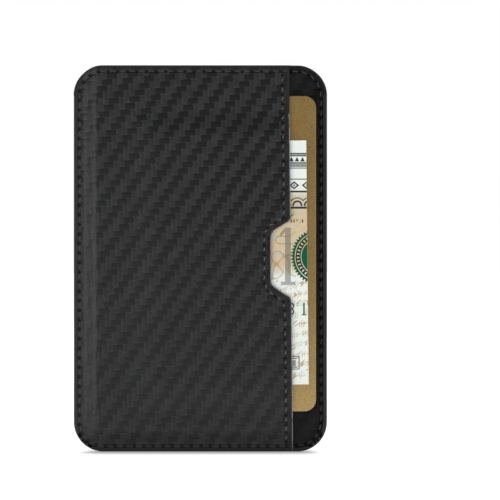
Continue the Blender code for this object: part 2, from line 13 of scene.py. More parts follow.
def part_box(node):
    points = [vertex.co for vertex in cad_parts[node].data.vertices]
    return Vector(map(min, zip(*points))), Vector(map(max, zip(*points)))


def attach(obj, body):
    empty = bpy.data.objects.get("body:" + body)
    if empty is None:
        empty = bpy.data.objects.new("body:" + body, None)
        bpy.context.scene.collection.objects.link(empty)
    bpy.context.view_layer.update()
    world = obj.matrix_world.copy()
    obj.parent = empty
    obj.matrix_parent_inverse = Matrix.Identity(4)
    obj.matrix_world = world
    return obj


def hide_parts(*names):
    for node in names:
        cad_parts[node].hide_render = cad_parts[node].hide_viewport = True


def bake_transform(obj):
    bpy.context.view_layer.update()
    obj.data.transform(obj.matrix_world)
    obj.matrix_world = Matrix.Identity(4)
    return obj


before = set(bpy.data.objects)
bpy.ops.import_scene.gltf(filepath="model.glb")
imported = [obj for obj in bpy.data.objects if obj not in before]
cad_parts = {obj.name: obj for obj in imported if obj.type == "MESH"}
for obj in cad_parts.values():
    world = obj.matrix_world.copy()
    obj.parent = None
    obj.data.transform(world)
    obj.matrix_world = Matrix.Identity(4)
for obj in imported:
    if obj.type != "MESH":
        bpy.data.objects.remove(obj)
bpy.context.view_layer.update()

MM = 0.001


# Places and sizes read from the frame
body_low, body_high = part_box("body_edge_coat")
WIDTH = body_high[0] - body_low[0]
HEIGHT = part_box("front_lip_edge_coat")[1][2] - body_low[2]
SEAM_Y = (body_low[1] + body_high[1]) / 2
SEAM_HALF = (body_high[1] - body_low[1]) / 2
SEAM_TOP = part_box("front_lip_edge_coat")[0][2]
MOUTH_LOW_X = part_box("front_mouth_edge_coat")[1][0] - 0.2 * MM
NOTCH_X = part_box("front_mouth_edge_coat")[0][0]
BACK_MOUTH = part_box("back_pocket_outer")[1][2]
note_low, note_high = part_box("folded_note")
gold_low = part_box("gold_card")[0]

# Outline
CORNER = 8 * MM
MOUTH_TOP_X = MOUTH_LOW_X - 1.1 * MM
NOTCH = (41.7 * MM, 45.4 * MM, 59.8 * MM, 62.9 * MM)  # heights of its four corners
NOTCH_ROUNDING = 0.7 * MM

# Sheets
LEATHER = 0.5 * MM
CLOTH = 0.18 * MM
FOIL = 0.06 * MM
PLY = 0.04 * MM
BEAD = 0.5 * MM  # width of the painted edge, seen from the front
SWELL_START = 2.2 * MM  # how far in from the edge the sheets begin to part
WALL_SWELL, POCKET_SWELL = 7.3 * MM, 6.8 * MM  # and where they have parted
WAVES = 0.035 * MM  # height of the leather's slow unevenness
INNER_INSET, INNER_LOW, INNER_CORNER = 4 * MM, 10 * MM, 3 * MM
SEAM_GAP = 0.02 * MM  # between the sheets and the seam plane, where they are sewn
WALL_GAP, LIP_RISE, LIP_FROM = 0.66 * MM, 0.98 * MM, 96.5 * MM
POCKET_SEAM, POCKET_GAP, NOTE_BULGE = 0.54 * MM, 2.26 * MM, 0.52 * MM
BACK_GAP, GAPE, GAPE_FROM = 2.30 * MM, 1.94 * MM, 28 * MM
SAME_PLACE = 1e-6  # vertices closer than this are one

# Stitching
STITCH_INSET = 1.6 * MM
MOUTH_INSET = 1.8 * MM
STITCH = 2.6 * MM
SEAM_END = 2.6 * MM  # how far from the rim the mouths' seams end
TURN_OUTER, TURN_INNER = 1.0 * MM, 0.8 * MM  # from the notch's corners to the seam's turns
BACK_DROP = 2 * MM  # of the back pocket's seam below its mouth
SEAM_THREAD, MOUTH_THREAD = 0.16 * MM, 0.17 * MM  # half the thread's thickness
SEAM_SLANT, MOUTH_SLANT = math.radians(8), math.radians(20)
THREAD_RAISED = 0.02 * MM

# Slot of the pull strap
SLOT_Z, SLOT_HALF, SLOT_OPEN = 90.2 * MM, 6.6 * MM, 0.5 * MM  # its open half height

# Embossed twill
WARP, WEFT = 1.425 * MM, 1.715 * MM
TWILL_TURN = math.radians(4.6)
TWILL_SHIFT = 1e-4  # keeps the grid's cuts off the floats' borders
RELIEF = 0.035 * MM

# ------------------------------------------------------------- shape of the sheets


def smooth(value, start, end):
    t = min(1.0, max(0.0, (value - start) / (end - start)))
    return t * t * (3 - 2 * t)


def mix(a, b, share):
    return a + (b - a) * share


def inside_seam(x, z):
    """Distance in from the sewn sides and bottom."""
    across, down = abs(x) - (WIDTH / 2 - CORNER), CORNER - z
    if across > 0 and down > 0:
        return CORNER - math.hypot(across, down)
    return min(WIDTH / 2 - abs(x), z)


def waviness(x, z, phase):
    """The slow unevenness of leather that has been handled."""
    return (
        math.sin(x / (9 * MM) + phase) * math.sin(z / (13 * MM) + 2 * phase)
        + 0.6 * math.sin((x + z) / (17 * MM) + 3 * phase)
    ) * WAVES


def front_wall(x, z):
    """Rear face of the front wall's leather."""
    swell = smooth(inside_seam(x, z), SWELL_START, WALL_SWELL)
    lip = LIP_RISE * smooth(z, LIP_FROM, HEIGHT)
    return mix(SEAM_GAP, WALL_GAP + lip, swell)


def front_pocket(x, z):
    """Rear face of the front pocket's leather, which bulges over the note."""
    swell = smooth(inside_seam(x, z), SWELL_START, POCKET_SWELL)
    note = min(
        smooth(x, -20 * MM, -10.9 * MM), smooth(z, 11 * MM, 18 * MM),
        1 - smooth(z, 85.6 * MM, 93 * MM),
    )
    return mix(POCKET_SEAM, POCKET_GAP + NOTE_BULGE * note, swell) + waviness(x, z, 1) * swell**2


def back_wall(x, z):
    """Front face of the back wall's leather."""
    side = smooth(WIDTH / 2 - abs(x), SWELL_START, WALL_SWELL)
    bottom = smooth(inside_seam(0, z), 2.5 * MM, 14.8 * MM)
    return mix(-SEAM_GAP, -BACK_GAP, side * bottom)


def back_pocket(x, z):
    """Front face of the back pocket's leather, which stands open at its mouth."""
    across = smooth(WIDTH / 2 - abs(x), 7 * MM, 24 * MM)
    up = min(1.0, max(0.0, (z - GAPE_FROM) / (BACK_MOUTH - GAPE_FROM)))
    gape = GAPE * across * up**1.1
    return back_wall(x, z) - LEATHER - PLY - gape


def moved(surface, amount):
    return lambda x, z: surface(x, z) + amount


def twill_relief(x, z):
    """Height of the embossed floats, 0 to 1: the same rule as the twill node group's."""
    turned_x = x * math.cos(TWILL_TURN) + z * math.sin(TWILL_TURN)
    turned_z = z * math.cos(TWILL_TURN) - x * math.sin(TWILL_TURN)
    u, v = turned_x / WARP + TWILL_SHIFT, turned_z / WEFT + TWILL_SHIFT
    step = (math.floor(u) - math.floor(v)) % 4
    u, v = u % 1, v % 1
    along, across = ((step + u) / 2, v) if step < 2 else ((3 - step + v) / 2, u)
    return (1 - (2 * along - 1) ** 6) * (1 - (2 * across - 1) ** 4)


# ------------------------------------------------------------- the lines of stitching


def rim_length():
    radius = CORNER - STITCH_INSET
    return 2 * (WIDTH - 2 * CORNER) + 2 * (HEIGHT - 2 * CORNER) + 2 * math.pi * radius


def on_rim(x, z):
    """How far round the rim seam a point lies, from the lower right, and how far in from the edge."""
    half_x, half_z = WIDTH / 2 - CORNER, HEIGHT / 2 - CORNER
    turn = math.pi / 2 * (CORNER - STITCH_INSET)
    across, up = x, z - HEIGHT / 2
    starts = [0, 2 * half_z, 2 * half_z + turn, 2 * half_z + turn + 2 * half_x]
    starts += [starts[3] + turn, starts[3] + turn + 2 * half_z]
    starts += [starts[5] + turn, starts[5] + turn + 2 * half_x]
    if abs(across) > half_x and abs(up) > half_z:
        dx, dz = abs(across) - half_x, abs(up) - half_z
        share = math.atan2(dz, dx) / (math.pi / 2)
        corner = {(1, 1): 1, (0, 1): 3, (0, 0): 5, (1, 0): 7}[(across > 0, up > 0)]
        if corner in (3, 7):
            share = 1 - share
        return starts[corner] + share * turn, CORNER - math.hypot(dx, dz)
    if WIDTH / 2 - abs(across) < HEIGHT / 2 - abs(up):
        if across > 0:
            return min(2 * half_z, max(0, up + half_z)), WIDTH / 2 - across
        return starts[4] + min(2 * half_z, max(0, half_z - up)), WIDTH / 2 + across
    if up > 0:
        return starts[2] + min(2 * half_x, max(0, half_x - across)), HEIGHT / 2 - up
    return starts[6] + min(2 * half_x, max(0, across + half_x)), HEIGHT / 2 + up


def rim_point(length):
    """The point of the rim seam at this distance round it, as (x, z)."""
    half_x, half_z = WIDTH / 2 - CORNER, HEIGHT / 2 - CORNER
    radius = CORNER - STITCH_INSET
    turn = math.pi / 2 * radius
    corners = [(1, 1), (-1, 1), (-1, -1), (1, -1)]
    for i, (sx, sz) in enumerate(corners):
        run = 2 * (half_x if i % 2 else half_z)
        if length < run:
            back = Vector((math.sin(i * math.pi / 2), -math.cos(i * math.pi / 2)))
            out = Vector((math.cos(i * math.pi / 2), math.sin(i * math.pi / 2)))
            start = Vector((sx * half_x, sz * half_z)) + out * radius
            point = start + back * (run - length)
            return point.x, point.y + HEIGHT / 2
        length -= run
        if length < turn:
            angle = i * math.pi / 2 + length / radius
            return (
                sx * half_x + radius * math.cos(angle),
                sz * half_z + radius * math.sin(angle) + HEIGHT / 2,
            )
        length -= turn
    return rim_point(0)


def mouth_x(z):
    """The front pocket's mouth leans a little: its place across at this height."""
    return mix(MOUTH_LOW_X, MOUTH_TOP_X, z / HEIGHT)


def mouth_seam():
    """Corners of the stitching along the front pocket's mouth, upwards."""
    low, notch_low, notch_high, high = NOTCH
    edge = lambda z: mouth_x(z) - MOUTH_INSET
    return [
        (edge(0), SEAM_END),
        (edge(low), low - TURN_OUTER),
        (NOTCH_X - MOUTH_INSET, notch_low - TURN_INNER),
        (NOTCH_X - MOUTH_INSET, notch_high + TURN_INNER),
        (edge(high), high + TURN_OUTER),
        (edge(HEIGHT), HEIGHT - SEAM_END),
    ]


def on_line(points):
    """A reader like on_rim for an open line of straight runs."""

    def read(x, z):
        best, done = (0, 1), 0
        for (x0, z0), (x1, z1) in zip(points, points[1:]):
            run = math.hypot(x1 - x0, z1 - z0)
            share = ((x - x0) * (x1 - x0) + (z - z0) * (z1 - z0)) / run**2
            share = min(1, max(0, share))
            away = math.hypot(x - mix(x0, x1, share), z - mix(z0, z1, share))
            if away < abs(best[1]):
                side = (x1 - x0) * (z - z0) - (z1 - z0) * (x - x0)
                best = (done + run * share, math.copysign(away, side))
            done += run
        return best

    return read


def line_length(points):
    return sum(math.dist(a, b) for a, b in zip(points, points[1:]))


def line_point(points, length):
    """The point this far along a line of straight runs."""
    for a, b in zip(points, points[1:]):
        run = math.dist(a, b)
        if length <= run:
            return mix(a[0], b[0], length / run), mix(a[1], b[1], length / run)
        length -= run
    return points[-1]


def seam_point(points, length):
    """line_point, kept from passing the line's end."""
    return line_point(points, min(length, line_length(points) - 1e-9))


RIM_STITCHES = round(rim_length() / STITCH)
RIM_STITCH = rim_length() / RIM_STITCHES
MOUTH_SEAM = mouth_seam()
MOUTH_STITCHES = round(line_length(MOUTH_SEAM) / STITCH)
MOUTH_STITCH = line_length(MOUTH_SEAM) / MOUTH_STITCHES
back_half = WIDTH / 2 - SEAM_END
BACK_SEAM = [(back_half, BACK_MOUTH - BACK_DROP), (-back_half, BACK_MOUTH - BACK_DROP)]
BACK_STITCHES = round(line_length(BACK_SEAM) / STITCH)
BACK_STITCH = line_length(BACK_SEAM) / BACK_STITCHES

# ------------------------------------------------------------------ node helpers


class Nodes:
    """Adds and joins the nodes of one tree."""

    def __init__(self, tree):
        self.tree = tree

    def add(self, kind, inputs=None, **settings):
        node = self.tree.nodes.new(kind)
        for key, value in settings.items():
            setattr(node, key, value)
        for key, value in (inputs or {}).items():
            self.feed(node.inputs[key], value)
        return node

    def feed(self, socket, value):
        if isinstance(value, bpy.types.NodeSocket):
            self.tree.links.new(value, socket)
        elif isinstance(value, tuple) and len(value) == 3 and socket.type == "RGBA":
            socket.default_value = (*value, 1)
        else:
            socket.default_value = value

    def math(self, operation, a, b=0.0, c=0.0, clamp=False):
        node = self.add("ShaderNodeMath", {0: a, 1: b, 2: c}, operation=operation, use_clamp=clamp)
        return node.outputs[0]

    def times(self, a, b):
        return self.math("MULTIPLY", a, b)

    def over(self, a, b):
        return self.math("DIVIDE", a, b)

    def plus(self, a, b):
        return self.math("ADD", a, b)

    def minus(self, a, b):
        return self.math("SUBTRACT", a, b)

    def scaled(self, a, factor, added):
        return self.math("MULTIPLY_ADD", a, factor, added)

    def size(self, a):
        return self.math("ABSOLUTE", a)

    def sine(self, a):
        return self.math("SINE", a)

    def step(self, value, start, end, low=0.0, high=1.0):
        """A smooth step from low to high."""
        node = self.add(
            "ShaderNodeMapRange",
            {"Value": value, "From Min": start, "From Max": end, "To Min": low, "To Max": high},
            interpolation_type="SMOOTHSTEP",
        )
        return node.outputs[0]

    def fall(self, value, start, end):
        """A smooth step down from 1 to 0."""
        return self.step(value, start, end, 1.0, 0.0)

    def blend(self, share, a, b, how="MIX"):
        node = self.add("ShaderNodeMix", data_type="RGBA", blend_type=how)
        self.feed(node.inputs[0], share)
        self.feed(node.inputs[6], a)
        self.feed(node.inputs[7], b)
        return node.outputs[2]

    def noise(self, vector, scale, detail=3.0, roughness=0.5):
        return self.add(
            "ShaderNodeTexNoise",
            {"Vector": vector, "Scale": scale, "Detail": detail, "Roughness": roughness},
        ).outputs["Fac"]

    def split(self, vector):
        node = self.add("ShaderNodeSeparateXYZ", {0: vector})
        return node.outputs[0], node.outputs[1], node.outputs[2]

    def group(self, group, **inputs):
        node = self.add("ShaderNodeGroup", node_tree=group)
        for key, value in inputs.items():
            self.feed(node.inputs[key.replace("_", " ")], value)
        return node.outputs


def new_group(name, inputs, outputs):
    """An empty shader group with these sockets; returns its nodes, inputs and a way to end it."""
    group = bpy.data.node_groups.new(name, "ShaderNodeTree")
    for label, kind, value in inputs:
        socket = group.interface.new_socket(label, in_out="INPUT", socket_type=kind)
        if value is not None:
            socket.default_value = value
    for label, kind in outputs:
        group.interface.new_socket(label, in_out="OUTPUT", socket_type=kind)
    nodes = Nodes(group)
    start, end = nodes.add("NodeGroupInput"), nodes.add("NodeGroupOutput")
    return group, nodes, start.outputs, lambda label, value: nodes.feed(end.inputs[label], value)


FLOAT, VECTOR = "NodeSocketFloat", "NodeSocketVector"


def make_twill():
    """Two-over-two twill: which tow is on top, its rounded height, and its fine ribs."""
    group, n, given, put = new_group(
        "twill", [("Place", VECTOR, None), ("Warp", FLOAT, 1.0), ("Weft", FLOAT, 1.0)],
        [("Weft on top", FLOAT), ("Height", FLOAT), ("Ribs", FLOAT), ("Border", FLOAT)],
    )
    x, _, z = n.split(given["Place"])
    u = n.plus(n.over(x, given["Warp"]), TWILL_SHIFT)
    v = n.plus(n.over(z, given["Weft"]), TWILL_SHIFT)
    fu, fv = n.math("FRACT", u), n.math("FRACT", v)
    difference = n.minus(n.math("FLOOR", u), n.math("FLOOR", v))
    step = n.math("FLOORED_MODULO", difference, 4.0)
    weft = n.math("LESS_THAN", step, 1.5)
    weft_along = n.times(n.plus(step, fu), 0.5)
    warp_along = n.times(n.plus(n.minus(3.0, step), fv), 0.5)

    def choose(a, b):
        return n.add("ShaderNodeMix", {0: weft, 2: b, 3: a}, data_type="FLOAT").outputs[0]

    def dome(position, power):
        centred = n.size(n.scaled(position, 2.0, -1.0))
        return n.minus(1.0, n.math("POWER", centred, power))

    along, across = choose(weft_along, warp_along), choose(fv, fu)
    height = n.times(dome(along, 6.0), dome(across, 4.0))
    ribs = n.sine(n.times(across, 2 * math.pi * 6))
    put("Weft on top", weft)
    put("Height", height)
    put("Ribs", n.times(ribs, n.step(height, 0.05, 0.5)))
    put("Border", n.fall(height, 0.0, 0.45))
    return group


def make_needle_holes():
    """Round needle holes and the groove of a seam, from a map that counts stitches along it."""
    group, n, given, put = new_group(
        "needle holes", [("Seam", VECTOR, None), ("Size", FLOAT, 0.13)],
        [("Hole", FLOAT), ("Groove", FLOAT)],
    )
    u, v, _ = n.split(given["Seam"])
    from_hole = n.minus(n.math("FRACT", n.plus(u, 0.5)), 0.5)
    reach = n.math("SQRT", n.plus(n.math("POWER", from_hole, 2.0), n.math("POWER", v, 2.0)))
    outer = n.times(given["Size"], 1.5)
    inner = n.times(given["Size"], 0.6)
    put("Hole", n.fall(reach, inner, outer))
    put("Groove", n.fall(n.size(v), 0.05, 0.22))
    return group


def make_cloth_weave():
    """Plain weave: height of the threads, over and under."""
    group, n, given, put = new_group(
        "cloth weave", [("Place", VECTOR, None), ("Pitch", FLOAT, 1.0)],
        [("Height", FLOAT), ("Cross", FLOAT)],
    )
    x, _, z = n.split(given["Place"])
    u, v = n.over(x, given["Pitch"]), n.over(z, given["Pitch"])
    over = n.sine(n.times(u, math.pi))
    under = n.sine(n.times(v, math.pi))
    put("Cross", n.step(n.times(over, under), -0.4, 0.4))
    ridges = n.plus(n.size(over), n.size(under))
    put("Height", n.times(ridges, 0.5))
    return group


TWILL, NEEDLE_HOLES, CLOTH_WEAVE = make_twill(), make_needle_holes(), make_cloth_weave()


def new_material(name):
    made = bpy.data.materials.new(name)
    made.use_nodes = True
    made.node_tree.nodes.clear()
    nodes = Nodes(made.node_tree)
    shader = nodes.add("ShaderNodeBsdfPrincipled")
    out = nodes.add("ShaderNodeOutputMaterial")
    nodes.tree.links.new(shader.outputs[0], out.inputs[0])
    return made, nodes, shader.inputs


def settle(n, shader, made, colour, rough, normal, **others):
    """Feeds the shader its colour, roughness, normal and other values, and returns the material."""
    given = {"Base Color": colour, "Roughness": rough, "Normal": normal}
    given.update((key.replace("_", " "), value) for key, value in others.items())
    for key, value in given.items():
        n.feed(shader[key], value)
    return made


def object_place(n, turn=0.0, offset=(0, 0, 0)):
    """Object coordinates, turned in the face plane."""
    given = n.add("ShaderNodeTexCoord").outputs["Object"]
    mapping = n.add(
        "ShaderNodeMapping", {"Vector": given, "Location": offset, "Rotation": (0, turn, 0)},
        vector_type="POINT",
    )
    return mapping.outputs[0]


def bump(n, height, distance, strength=1.0, normal=None):
    node = n.add("ShaderNodeBump", {"Height": height, "Distance": distance, "Strength": strength})
    if normal is not None:
        n.feed(node.inputs["Normal"], normal)
    return node.outputs[0]


# ------------------------------------------------------------------ materials


def twill_leather(name, seams, tone=1.0, gloss=0.24):
    """Black leather embossed with a carbon-like twill; seams are the UV maps that count stitches."""
    made, n, shader = new_material(name)
    place = object_place(n, TWILL_TURN)
    still = n.add("ShaderNodeTexCoord").outputs["Object"]
    twill = n.group(TWILL, Place=place, Warp=WARP, Weft=WEFT)
    # The embossed leather is one black: the lighter warp floats and darker weft floats are painted
    # sheen and shade.
    lit_warp_tone = tuple(c * tone for c in (0.0176, 0.0179, 0.0187))
    shaded_weft_tone = tuple(c * tone for c in (0.0048, 0.0051, 0.0062))
    patch = n.noise(still, 320.0, 2.0)
    lit_warp_colour = n.blend(n.step(patch, 0.35, 0.65), lit_warp_tone, tuple(c * 1.35 for c in lit_warp_tone))
    # The painted contrast between the floats is weaker towards the lower left.
    clear = n.step(n.plus(n.split(still)[2], n.split(still)[0]), 0.0, HEIGHT, 0.6, 1.0)
    colour = n.blend(n.times(twill["Weft on top"], clear), lit_warp_colour, shaded_weft_tone)
    # Pale borders round the floats: a painted highlight on their embossed edges.
    border_highlight_tone = n.blend(
        twill["Weft on top"], tuple(c * 2.4 for c in lit_warp_tone), tuple(c * 2.6 for c in shaded_weft_tone)
    )
    colour = n.blend(n.times(twill["Border"], 0.85), colour, border_highlight_tone)
    # Light and dark stripes along the ribs: painted shade and highlight of their relief.
    ribs = n.scaled(twill["Ribs"], 0.22, 0.9)
    colour = n.blend(1.0, colour, ribs, "MULTIPLY")
    holes, grooves, rim = 0.0, 0.0, 1.0
    for seam in seams:
        seam_map = n.add("ShaderNodeUVMap", uv_map=seam).outputs[0]
        made_holes = n.group(NEEDLE_HOLES, Seam=seam_map, Size=0.16)
        holes = n.math("MAXIMUM", holes, made_holes["Hole"])
        grooves = n.math("MAXIMUM", grooves, made_holes["Groove"])
        rim = n.times(rim, n.step(n.split(seam_map)[1], -0.5, 0.1, 0.0, 1.0))
    colour = n.blend(n.scaled(rim, -0.75, 0.75), colour, (0.0095, 0.0095, 0.0102))
    # Near-black needle holes: painted shade inside holes that the mesh does not cut.
    colour = n.blend(holes, colour, (0.0008, 0.0008, 0.0008))
    grain = n.noise(still, 2600.0, 4.0, 0.6)
    colour = n.blend(1.0, colour, n.step(grain, 0.3, 0.7, 0.62, 1.38), "MULTIPLY")
    rough = n.scaled(grain, 0.16, 0.36)
    rough = n.minus(rough, n.times(twill["Weft on top"], 0.06))
    weave = n.scaled(twill["Ribs"], 0.10, twill["Height"])
    weave = n.times(weave, rim)
    normal = bump(n, weave, 0.035 * MM, 0.7)
    normal = bump(n, grain, 0.02 * MM, 0.6, normal)
    sunk = n.scaled(grooves, 0.25, holes)
    normal = bump(n, n.times(sunk, -1.0), 0.25 * MM, 1.0, normal)
    return settle(n, shader, made, colour, rough, normal, Specular_IOR_Level=gloss)


def edge_paint(name="edge_paint", highlight_colour=None):
    """Burnished, painted leather edge; where a highlight colour is given, a patchy painted highlight
    lies on its faces that turn towards +X.
    """
    dark, light = (0.006, 0.006, 0.007), (0.013, 0.0135, 0.015)
    made, n, shader = new_material(name)
    place = object_place(n)
    patch = n.noise(place, 700.0, 3.0)
    fine = n.noise(place, 4200.0, 3.0)
    colour = n.blend(patch, dark, light)
    # A patchy painted highlight, on the faces that turn towards +X.
    if highlight_colour:
        facing = n.split(n.add("ShaderNodeTexCoord").outputs["Normal"])[0]
        painted_highlight = n.times(n.step(facing, 0.05, 0.35), n.step(patch, 0.3, 0.6, 0.4, 1.0))
        colour = n.blend(painted_highlight, colour, highlight_colour)
    rough, normal = n.scaled(fine, 0.2, 0.4), bump(n, fine, 0.02 * MM, 0.5)
    return settle(n, shader, made, colour, rough, normal, Specular_IOR_Level=0.3)


def sewing_thread(name, dark, light):
    """Bonded thread, twisted; its lighter stripes along the twist are painted sheen."""
    made, n, shader = new_material(name)
    place = object_place(n)
    x, y, z = n.split(place)
    twist = n.sine(n.times(n.plus(n.plus(x, z), y), 14000.0))
    # Light stripes along the twist: painted sheen.
    colour = n.blend(n.step(twist, -1.0, 1.0), dark, light)
    rough = n.scaled(n.noise(place, 5000.0), 0.2, 0.32)
    normal = bump(n, twist, 0.02 * MM, 0.6)
    return settle(n, shader, made, colour, rough, normal, Specular_IOR_Level=0.6)


def cloth(name, dark, light, pitch, roughness=0.75):
    made, n, shader = new_material(name)
    place = object_place(n)
    weave = n.group(CLOTH_WEAVE, Place=place, Pitch=pitch)
    colour = n.blend(weave["Cross"], dark, light)
    colour = n.blend(1.0, colour, n.scaled(n.noise(place, 900.0), 0.5, 0.75), "MULTIPLY")
    rough = n.scaled(weave["Height"], -0.15, roughness + 0.1)
    normal = bump(n, weave["Height"], 0.04 * MM, 0.7)
    return settle(n, shader, made, colour, rough, normal, Sheen_Weight=0.1)


def foil_metal():
    made, n, shader = new_material("shield_foil")
    place = object_place(n)
    crinkle = n.noise(place, 260.0, 5.0)
    colour = n.blend(crinkle, (0.45, 0.46, 0.48), (0.62, 0.63, 0.65))
    rough, normal = n.scaled(crinkle, 0.25, 0.22), bump(n, crinkle, 0.1 * MM, 0.5)
    return settle(n, shader, made, colour, rough, normal, Metallic=1.0)


def card_plastic(name, dark, light, metallic, speck):
    """A plain bank-format card: fine metallic specks under a satin laminate, pale cut edges, and
    painted light that makes it lighter towards the bottom.
    """
    made, n, shader = new_material(name)
    place = object_place(n)
    cloud = n.noise(place, 60.0, 2.0)
    fleck = n.noise(place, 5200.0, 2.0, 0.7)
    # Lighter towards the bottom: painted light.
    painted_light_below = n.step(n.split(place)[2], 0.08 * HEIGHT, 0.4 * HEIGHT, 0.8, 0.0)
    share = n.scaled(n.step(cloud, 0.3, 0.7), 0.2, painted_light_below)
    colour = n.blend(share, dark, light)
    tint = n.scaled(n.step(fleck, 0.35, 0.65), speck, 1 - speck / 2)
    colour = n.blend(1.0, colour, tint, "MULTIPLY")
    facing = n.size(n.split(n.add("ShaderNodeNewGeometry").outputs["True Normal"])[1])
    rim = n.fall(facing, 0.75, 0.98)
    pale = tuple(min(1.0, c * 1.5 + 0.04) for c in light)
    colour = n.blend(rim, colour, pale)
    rough, normal = n.scaled(fleck, 0.2, 0.30), bump(n, fleck, 0.01 * MM, 0.5)
    return settle(
        n, shader, made, colour, rough, normal, Metallic=metallic, Coat_Weight=0.15,
        Coat_Roughness=0.3,
    )


def within(n, value, low, high, soft=0.05):
    """1 between low and high."""
    rise = n.step(value, low - soft, low + soft)
    return n.times(rise, n.fall(value, high - soft, high + soft))


def cell(n, value, pitch):
    """Distance from the middle of a repeating cell."""
    share = n.math("FRACT", n.over(value, pitch))
    return n.times(n.minus(share, 0.5), pitch)


def block(n, x, h, left, right, low, high, soft=0.05):
    """1 inside an upright rectangle."""
    return n.times(within(n, x, left, right, soft), within(n, h, low, high, soft))


def all_of(n, *masks):
    made = masks[0]
    for mask in masks[1:]:
        made = n.times(made, mask)
    return made


def any_of(n, *masks):
    made = masks[0]
    for mask in masks[1:]:
        made = n.math("MAXIMUM", made, mask)
    return made


def reach(n, x, z):
    return n.math("SQRT", n.plus(n.math("POWER", x, 2.0), n.math("POWER", z, 2.0)))


def printed_borders(n, x, h, fine):
    """Black ornament: ruled lines, engraved bands, wedges, lozenges and arches."""
    hatch = n.step(n.sine(n.times(n.plus(x, h), 19.0)), -0.8, -0.1)
    bands = [all_of(n, within(n, h, low, high), hatch) for low, high in ((80.4, 81.1), (77.6, 78.5))]
    rules = [(80.3, 80.55), (77.0, 77.25), (74.0, 74.25), (70.5, 71.0), (66.1, 66.65)]
    rules += [(81.0, 81.25), (78.45, 78.7), (77.5, 77.7)]
    lines = [within(n, h, low, high, 0.03) for low, high in rules]
    wedge = n.times(n.size(cell(n, x, 1.5)), 2.0)
    wedges = all_of(n, within(n, h, 78.9, 80.3), n.fall(n.plus(wedge, n.minus(h, 80.1)), 0.0, 0.12))
    across, up = n.size(cell(n, x, 3.4)), n.size(n.minus(h, 72.45))
    lozenge = n.plus(n.over(across, 1.5), n.over(up, 1.2))
    lozenges = all_of(
        n, within(n, h, 71.2, 73.7),
        any_of(n, within(n, lozenge, 0.5, 0.9, 0.03), n.fall(lozenge, 0.2, 0.28)),
    )
    arch = reach(n, cell(n, x, 3.1), n.minus(h, 67.0))
    arches = all_of(
        n, within(n, h, 66.8, 70.1),
        any_of(n, within(n, arch, 0.9, 1.35, 0.03), within(n, arch, 1.9, 2.15, 0.03)),
    )
    box_line = [
        all_of(
            n, within(n, x, -8.5, 26.9 - k),
            any_of(
                n, *(within(n, h, e - k * s, e - k * s + 0.22) for e, s in ((25.9, 1), (22.5, -1))),
            ),
        )
        for k in (0.0, 0.5)
    ]
    box = all_of(n, block(n, x, h, -7.7, 25.9, 23.4, 25.0), hatch)
    side = block(n, x, h, 26.7, 26.95, 22.6, 26.0)
    ticks = all_of(n, within(n, h, 62.3, 63.2), n.step(n.sine(n.times(x, 8.2)), 0.2, 0.5))
    ticks = all_of(n, ticks, within(n, x, 24.4, 28.2), n.step(fine, 0.42, 0.52))
    return any_of(n, *bands, *lines, wedges, lozenges, arches, *box_line, box, side, ticks)


def printed_seal(n, x, h):
    """A toothed green rosette with two pale rings and a ring of dashes, cut by the fold."""
    dx, dz = n.minus(x, 32.4), n.minus(h, 53.1)
    away, angle = reach(n, dx, dz), n.math("ARCTAN2", dz, dx)
    teeth = n.times(n.sine(n.times(angle, 52.0)), 0.28)
    filled = n.fall(n.plus(away, teeth), 7.45, 7.65)
    rings = any_of(n, within(n, away, 6.55, 6.75), within(n, away, 4.95, 5.15))
    beads = n.step(n.sine(n.times(angle, 38.0)), 0.2, 0.6)
    dashes = all_of(n, within(n, away, 5.5, 6.2), beads)
    return all_of(n, filled, n.minus(1.0, any_of(n, rings, dashes))), within(n, away, 5.15, 6.55)


def printed_numerals(n, x, h):
    """A row of green eights and ones."""
    along = n.minus(x, 26.45)
    across, up = cell(n, along, 3.38), n.minus(n.size(n.minus(h, 38.9)), 0.78)
    eight = within(n, reach(n, n.times(across, 1.15), up), 0.48, 0.86, 0.04)
    one = all_of(n, within(n, across, -0.2, 0.22, 0.04), within(n, h, 37.2, 40.6))
    foot = all_of(n, within(n, across, -0.6, 0.6, 0.04), within(n, h, 37.2, 37.5))
    odd = n.math("FLOORED_MODULO", n.math("FLOOR", n.over(along, 3.38)), 2.0)
    one = all_of(n, any_of(n, one, foot), n.minus(1.0, odd))
    return all_of(
        n, any_of(n, one, all_of(n, eight, odd)), within(n, x, 6.2, 29.8), within(n, h, 37.1, 40.7),
    )


def printed_flourish(n, place, x, h):
    """Copper script-like waves, and curls beside the figure."""
    tilted = n.minus(h, n.times(x, 0.22))
    row = n.math("FLOOR", n.over(tilted, 2.75))
    wobble = n.sine(n.plus(n.times(x, 2.1), n.times(row, 2.4)))
    up = cell(n, tilted, 2.75)
    slanted = n.minus(x, n.times(up, 0.6))
    wave = n.sine(n.plus(n.times(slanted, 6.5), n.times(wobble, 2.2)))
    tall = n.step(n.noise(place, 900.0, 1.0), 0.35, 0.65, 0.2, 0.95)
    off = n.minus(up, n.times(wave, tall))
    script = n.fall(n.size(off), 0.12, 0.4)
    words = n.step(n.noise(place, 330.0, 1.0), 0.40, 0.46)
    script = all_of(n, script, words, within(n, h, 19.5, 47.0, 1.0))
    curl = n.size(n.minus(n.noise(place, 230.0, 0.0), 0.5))
    curls = all_of(
        n, n.fall(curl, 0.01, 0.03), within(n, h, 44.5, 60.0, 0.6), within(n, x, -10.0, 26.0, 0.5),
    )
    return script, curls


